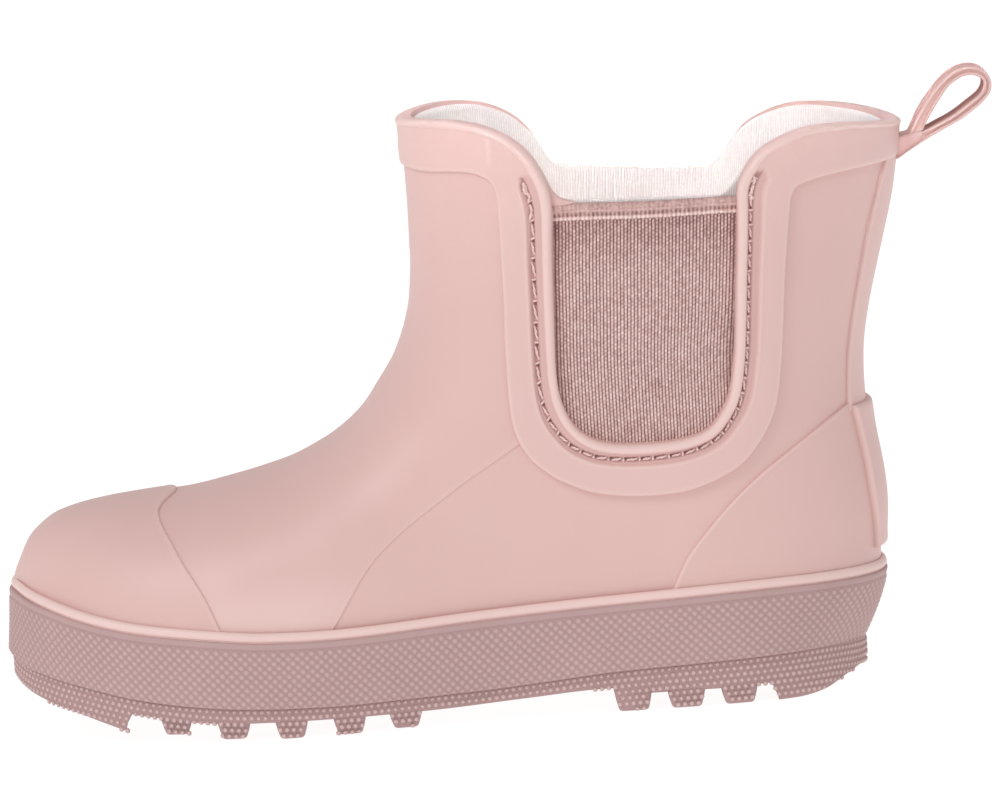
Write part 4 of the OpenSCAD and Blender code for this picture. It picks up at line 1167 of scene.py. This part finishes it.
def footbed_pad():
    """The loose insole: flat fabric-covered foam with a cupped heel and a rounded edge."""
    x = mix(TOE_X + TIP, PLAN_END - TIP, (1 - np.cos(np.linspace(0, math.pi, 110))) / 2)
    a, b = (plan_at(x, side, -4.0 + 0 * x) for side in (-1.0, 1.0))
    board = curve(BOARD_LINE, x)
    near = np.array([0, 0.004, 0.015, 0.035, 0.07])
    across = np.concatenate([near, np.linspace(0.12, 0.88, 24), 1 - near[::-1]])
    rows = []
    for f in across:
        edge = min(f, 1 - f)
        drop = 1.6 * (1 - math.sqrt(1 - (1 - min(edge / 0.035, 1)) ** 2))
        dish = -0.7 * math.sin(math.pi * f) * ease((x - 10) / 40)
        wave = 0.09 * np.sin(x / 9) * math.sin(2 * math.pi * f)
        rows.append(np.concatenate([mix(a, b, f), (board + 5.0 - drop + dish + wave)[:, None]], axis=1))
    for f in across[::-1][1:-1:3]:
        rows.append(np.concatenate([mix(a, b, f), (board + 1.5)[:, None]], axis=1))
    grid = np.array(rows).transpose(1, 0, 2)
    rib = np.repeat(x, len(rows))
    o = piece("footbed_pad", grid, capped(*grid.shape[:2]), footbed_cloth, ["footbed"], rib=rib)


sidewall()
bead_ring()
outsole()
lugs("forefoot_tread", "forefoot_lugs", FOREFOOT_ROWS)
lugs("heel_tread", "heel_lugs", HEEL_ROWS)
footbed_pad()


# ------------ pull loop
# the strap's side view, going round: a point of its outer face, then the inner face's point behind it
LOOP_PAIRS = [
    (90.4, 120.1, 96.9, 121.2), (93.6, 120.5, 97.1, 121.5), (94.9, 122.4, 97.6, 122.4),
    (96.2, 124.9, 98.5, 124), (97.5, 126.9, 99.6, 125.7), (99, 128.8, 100.8, 127.4),
    (100.6, 130.7, 102.2, 129.4), (102.2, 132.3, 103.4, 130.8), (103.9, 133.6, 104.7, 131.7),
    (105.6, 134.4, 105.9, 132.4), (107.4, 134.8, 107.3, 132.8), (109.2, 134.7, 108.8, 132.8),
    (110.8, 134.1, 109.9, 132.4), (112, 133, 110.7, 131.8), (112.7, 131.4, 111, 131),
    (112.7, 129.7, 110.9, 130.1), (112, 128.2, 110.3, 128.9), (110.4, 126.5, 109.2, 127.9),
    (108.4, 125, 107.3, 126.6), (106.2, 123.5, 105.3, 125.2), (103.9, 122.3, 103.1, 123.9),
    (101.4, 121.1, 100.5, 122.7), (99.2, 120, 98.6, 121.8), (96.8, 118.7, 97.3, 121.3),
    (93.6, 116.9, 97, 121.1), (90.4, 115.2, 96.9, 121), (89.6, 117.5, 96.8, 121.1),
]


def pull_loop():
    """The folded strap, with rounded long edges; it bends where it leaves the collar."""
    half, radius = 5.5, 0.6
    corner = np.radians(np.array([0, 22, 45, 68, 90]))
    rows, tones = [], []
    for pair in along(np.array(LOOP_PAIRS + LOOP_PAIRS[:1]), np.linspace(0, 1, 155))[:-1]:
        outer, inner = pair[:2], pair[2:]
        thick = np.linalg.norm(inner - outer)
        d = (inner - outer) / thick
        r = min(radius, thick / 2 - 0.05)
        r_in = r * float(1 - ease((thick - 2.4) / 1.2))
        edge = [(r * (1 - math.sin(c)), half - r * (1 - math.cos(c))) for c in corner]
        edge += [(thick - r_in * (1 - math.sin(c)), half - r_in * (1 - math.cos(c))) for c in corner[::-1]]
        section = edge[::-1] + [(s, -y) for s, y in edge]
        rows.append([(*(outer + d * s), y) for s, y in section])
        # Painted highlights along the strap's rounded long edges.
        tones.append([0.1 + 0.12 * (0.1 < abs(abs(y) - half + 0.4) < 0.42) for _, y in section])
    grid = np.array(rows)[..., [0, 2, 1]]
    nodes = ["pull_loop", "loop_anchor"]
    o = ring_piece("pull_loop_strap", grid, rubber_upper, nodes, np.array(tones), sharp=60, body=None)
    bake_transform(o)


pull_loop()


# ------------ what keeps its CAD shape
def board_material():
    m, tree, base, place = shader("insole_board_fibre", 0.85)
    fleck = noise(tree, place, 900, 4, 0.7)
    paint(tree, fleck, [(0.3, srgb(150, 124, 98)), (0.7, srgb(196, 170, 138))], base.inputs["Base Color"])
    bump(tree, base, [(fleck, 0.4, 0.1)])
    return m


filler_material = tinted(
    "filler_rubber_foam", srgb(120, 96, 95), srgb(168, 140, 137), srgb(190, 164, 160), 0.8, 80, 900, 0.1, 0.2
)
for node, material in (("insole_board", board_material()), ("midsole_filler", filler_material)):
    shown = frame["nodes"][node]
    shown.data.materials.clear()
    shown.data.materials.append(material)


# ------------ floor, light and camera
def floor():
    """A round sheet of pale paper that glows almost white, so that nearly no shadow shows on it."""
    bm = bmesh.new()
    bmesh.ops.create_circle(bm, cap_ends=True, radius=7, segments=96)
    mesh = bpy.data.meshes.new("studio_floor")
    bm.to_mesh(mesh)
    bm.free()
    o = bpy.data.objects.new("studio_floor", mesh)
    bpy.context.scene.collection.objects.link(o)
    o.location.z = -0.0002
    m, tree, base, place = shader("studio_paper", 0.9, Emission_Strength=0.92, Specular_IOR_Level=0.1)
    grain = noise(tree, place, 60, 3, 0.5)
    paint(tree, grain, [(0.3, [0.2] * 3), (0.7, [0.22] * 3)], base.inputs["Base Color"])
    paint(tree, grain, [(0.3, [0.99] * 3), (0.7, [1] * 3)], base.inputs["Emission Color"])
    mesh.materials.append(m)


def area_light(name, place, aim, size, power, spread=180):
    light = bpy.data.lights.new(name, "AREA")
    if isinstance(size, tuple):
        light.shape = "RECTANGLE"
        light.size, light.size_y = size
    else:
        light.shape = "DISK"
        light.size = size
    light.energy = power
    light.spread = math.radians(spread)
    o = bpy.data.objects.new(name, light)
    o.location = place
    o.rotation_euler = (Vector(aim) - Vector(place)).to_track_quat("-Z", "Y").to_euler()
    bpy.context.scene.collection.objects.link(o)


def camera():
    distance, tilt, roll = 1.8, math.radians(7), math.radians(3.75)
    target = Vector((0, 0, 0.067))
    back = Vector((0, -math.cos(tilt), math.sin(tilt)))
    right0, up0 = Vector((1, 0, 0)), Vector((0, math.sin(tilt), math.cos(tilt)))
    right = right0 * math.cos(roll) - up0 * math.sin(roll)
    up = right0 * math.sin(roll) + up0 * math.cos(roll)
    turn = Matrix((right, up, back)).transposed().to_4x4()
    data = bpy.data.cameras.new("view")
    data.lens = 291.6
    data.sensor_width = 36
    data.clip_start, data.clip_end = 0.1, 20
    o = bpy.data.objects.new("view", data)
    o.matrix_world = Matrix.Translation(target + back * distance) @ turn
    bpy.context.scene.collection.objects.link(o)
    bpy.context.scene.camera = o


def world():
    """A soft white room, a little darker overhead."""
    w = bpy.data.worlds.new("studio")
    w.use_nodes = True
    tree = w.node_tree
    back = tree.nodes["Background"]
    direction = add(tree, "ShaderNodeTexCoord").outputs["Generated"]
    height = add(tree, "ShaderNodeSeparateXYZ", [(0, direction)]).outputs["Z"]
    paint(tree, height, [(0.05, [0.75] * 3), (0.85, [0.5] * 3)], back.inputs["Color"])
    back.inputs["Strength"].default_value = 1.0
    bpy.context.scene.world = w


floor()
world()
area_light("key", (-1.0, -1.2, 1.45), (0, 0, 0.05), 0.8, 13)
area_light("snoot", (0.036, -0.42, 0.53), (0.036, 0.03, 0.116), (0.12, 0.035), 0.018, spread=9)
camera()
scene = bpy.context.scene
scene.view_settings.view_transform = "Standard"
scene.view_settings.look = "None"
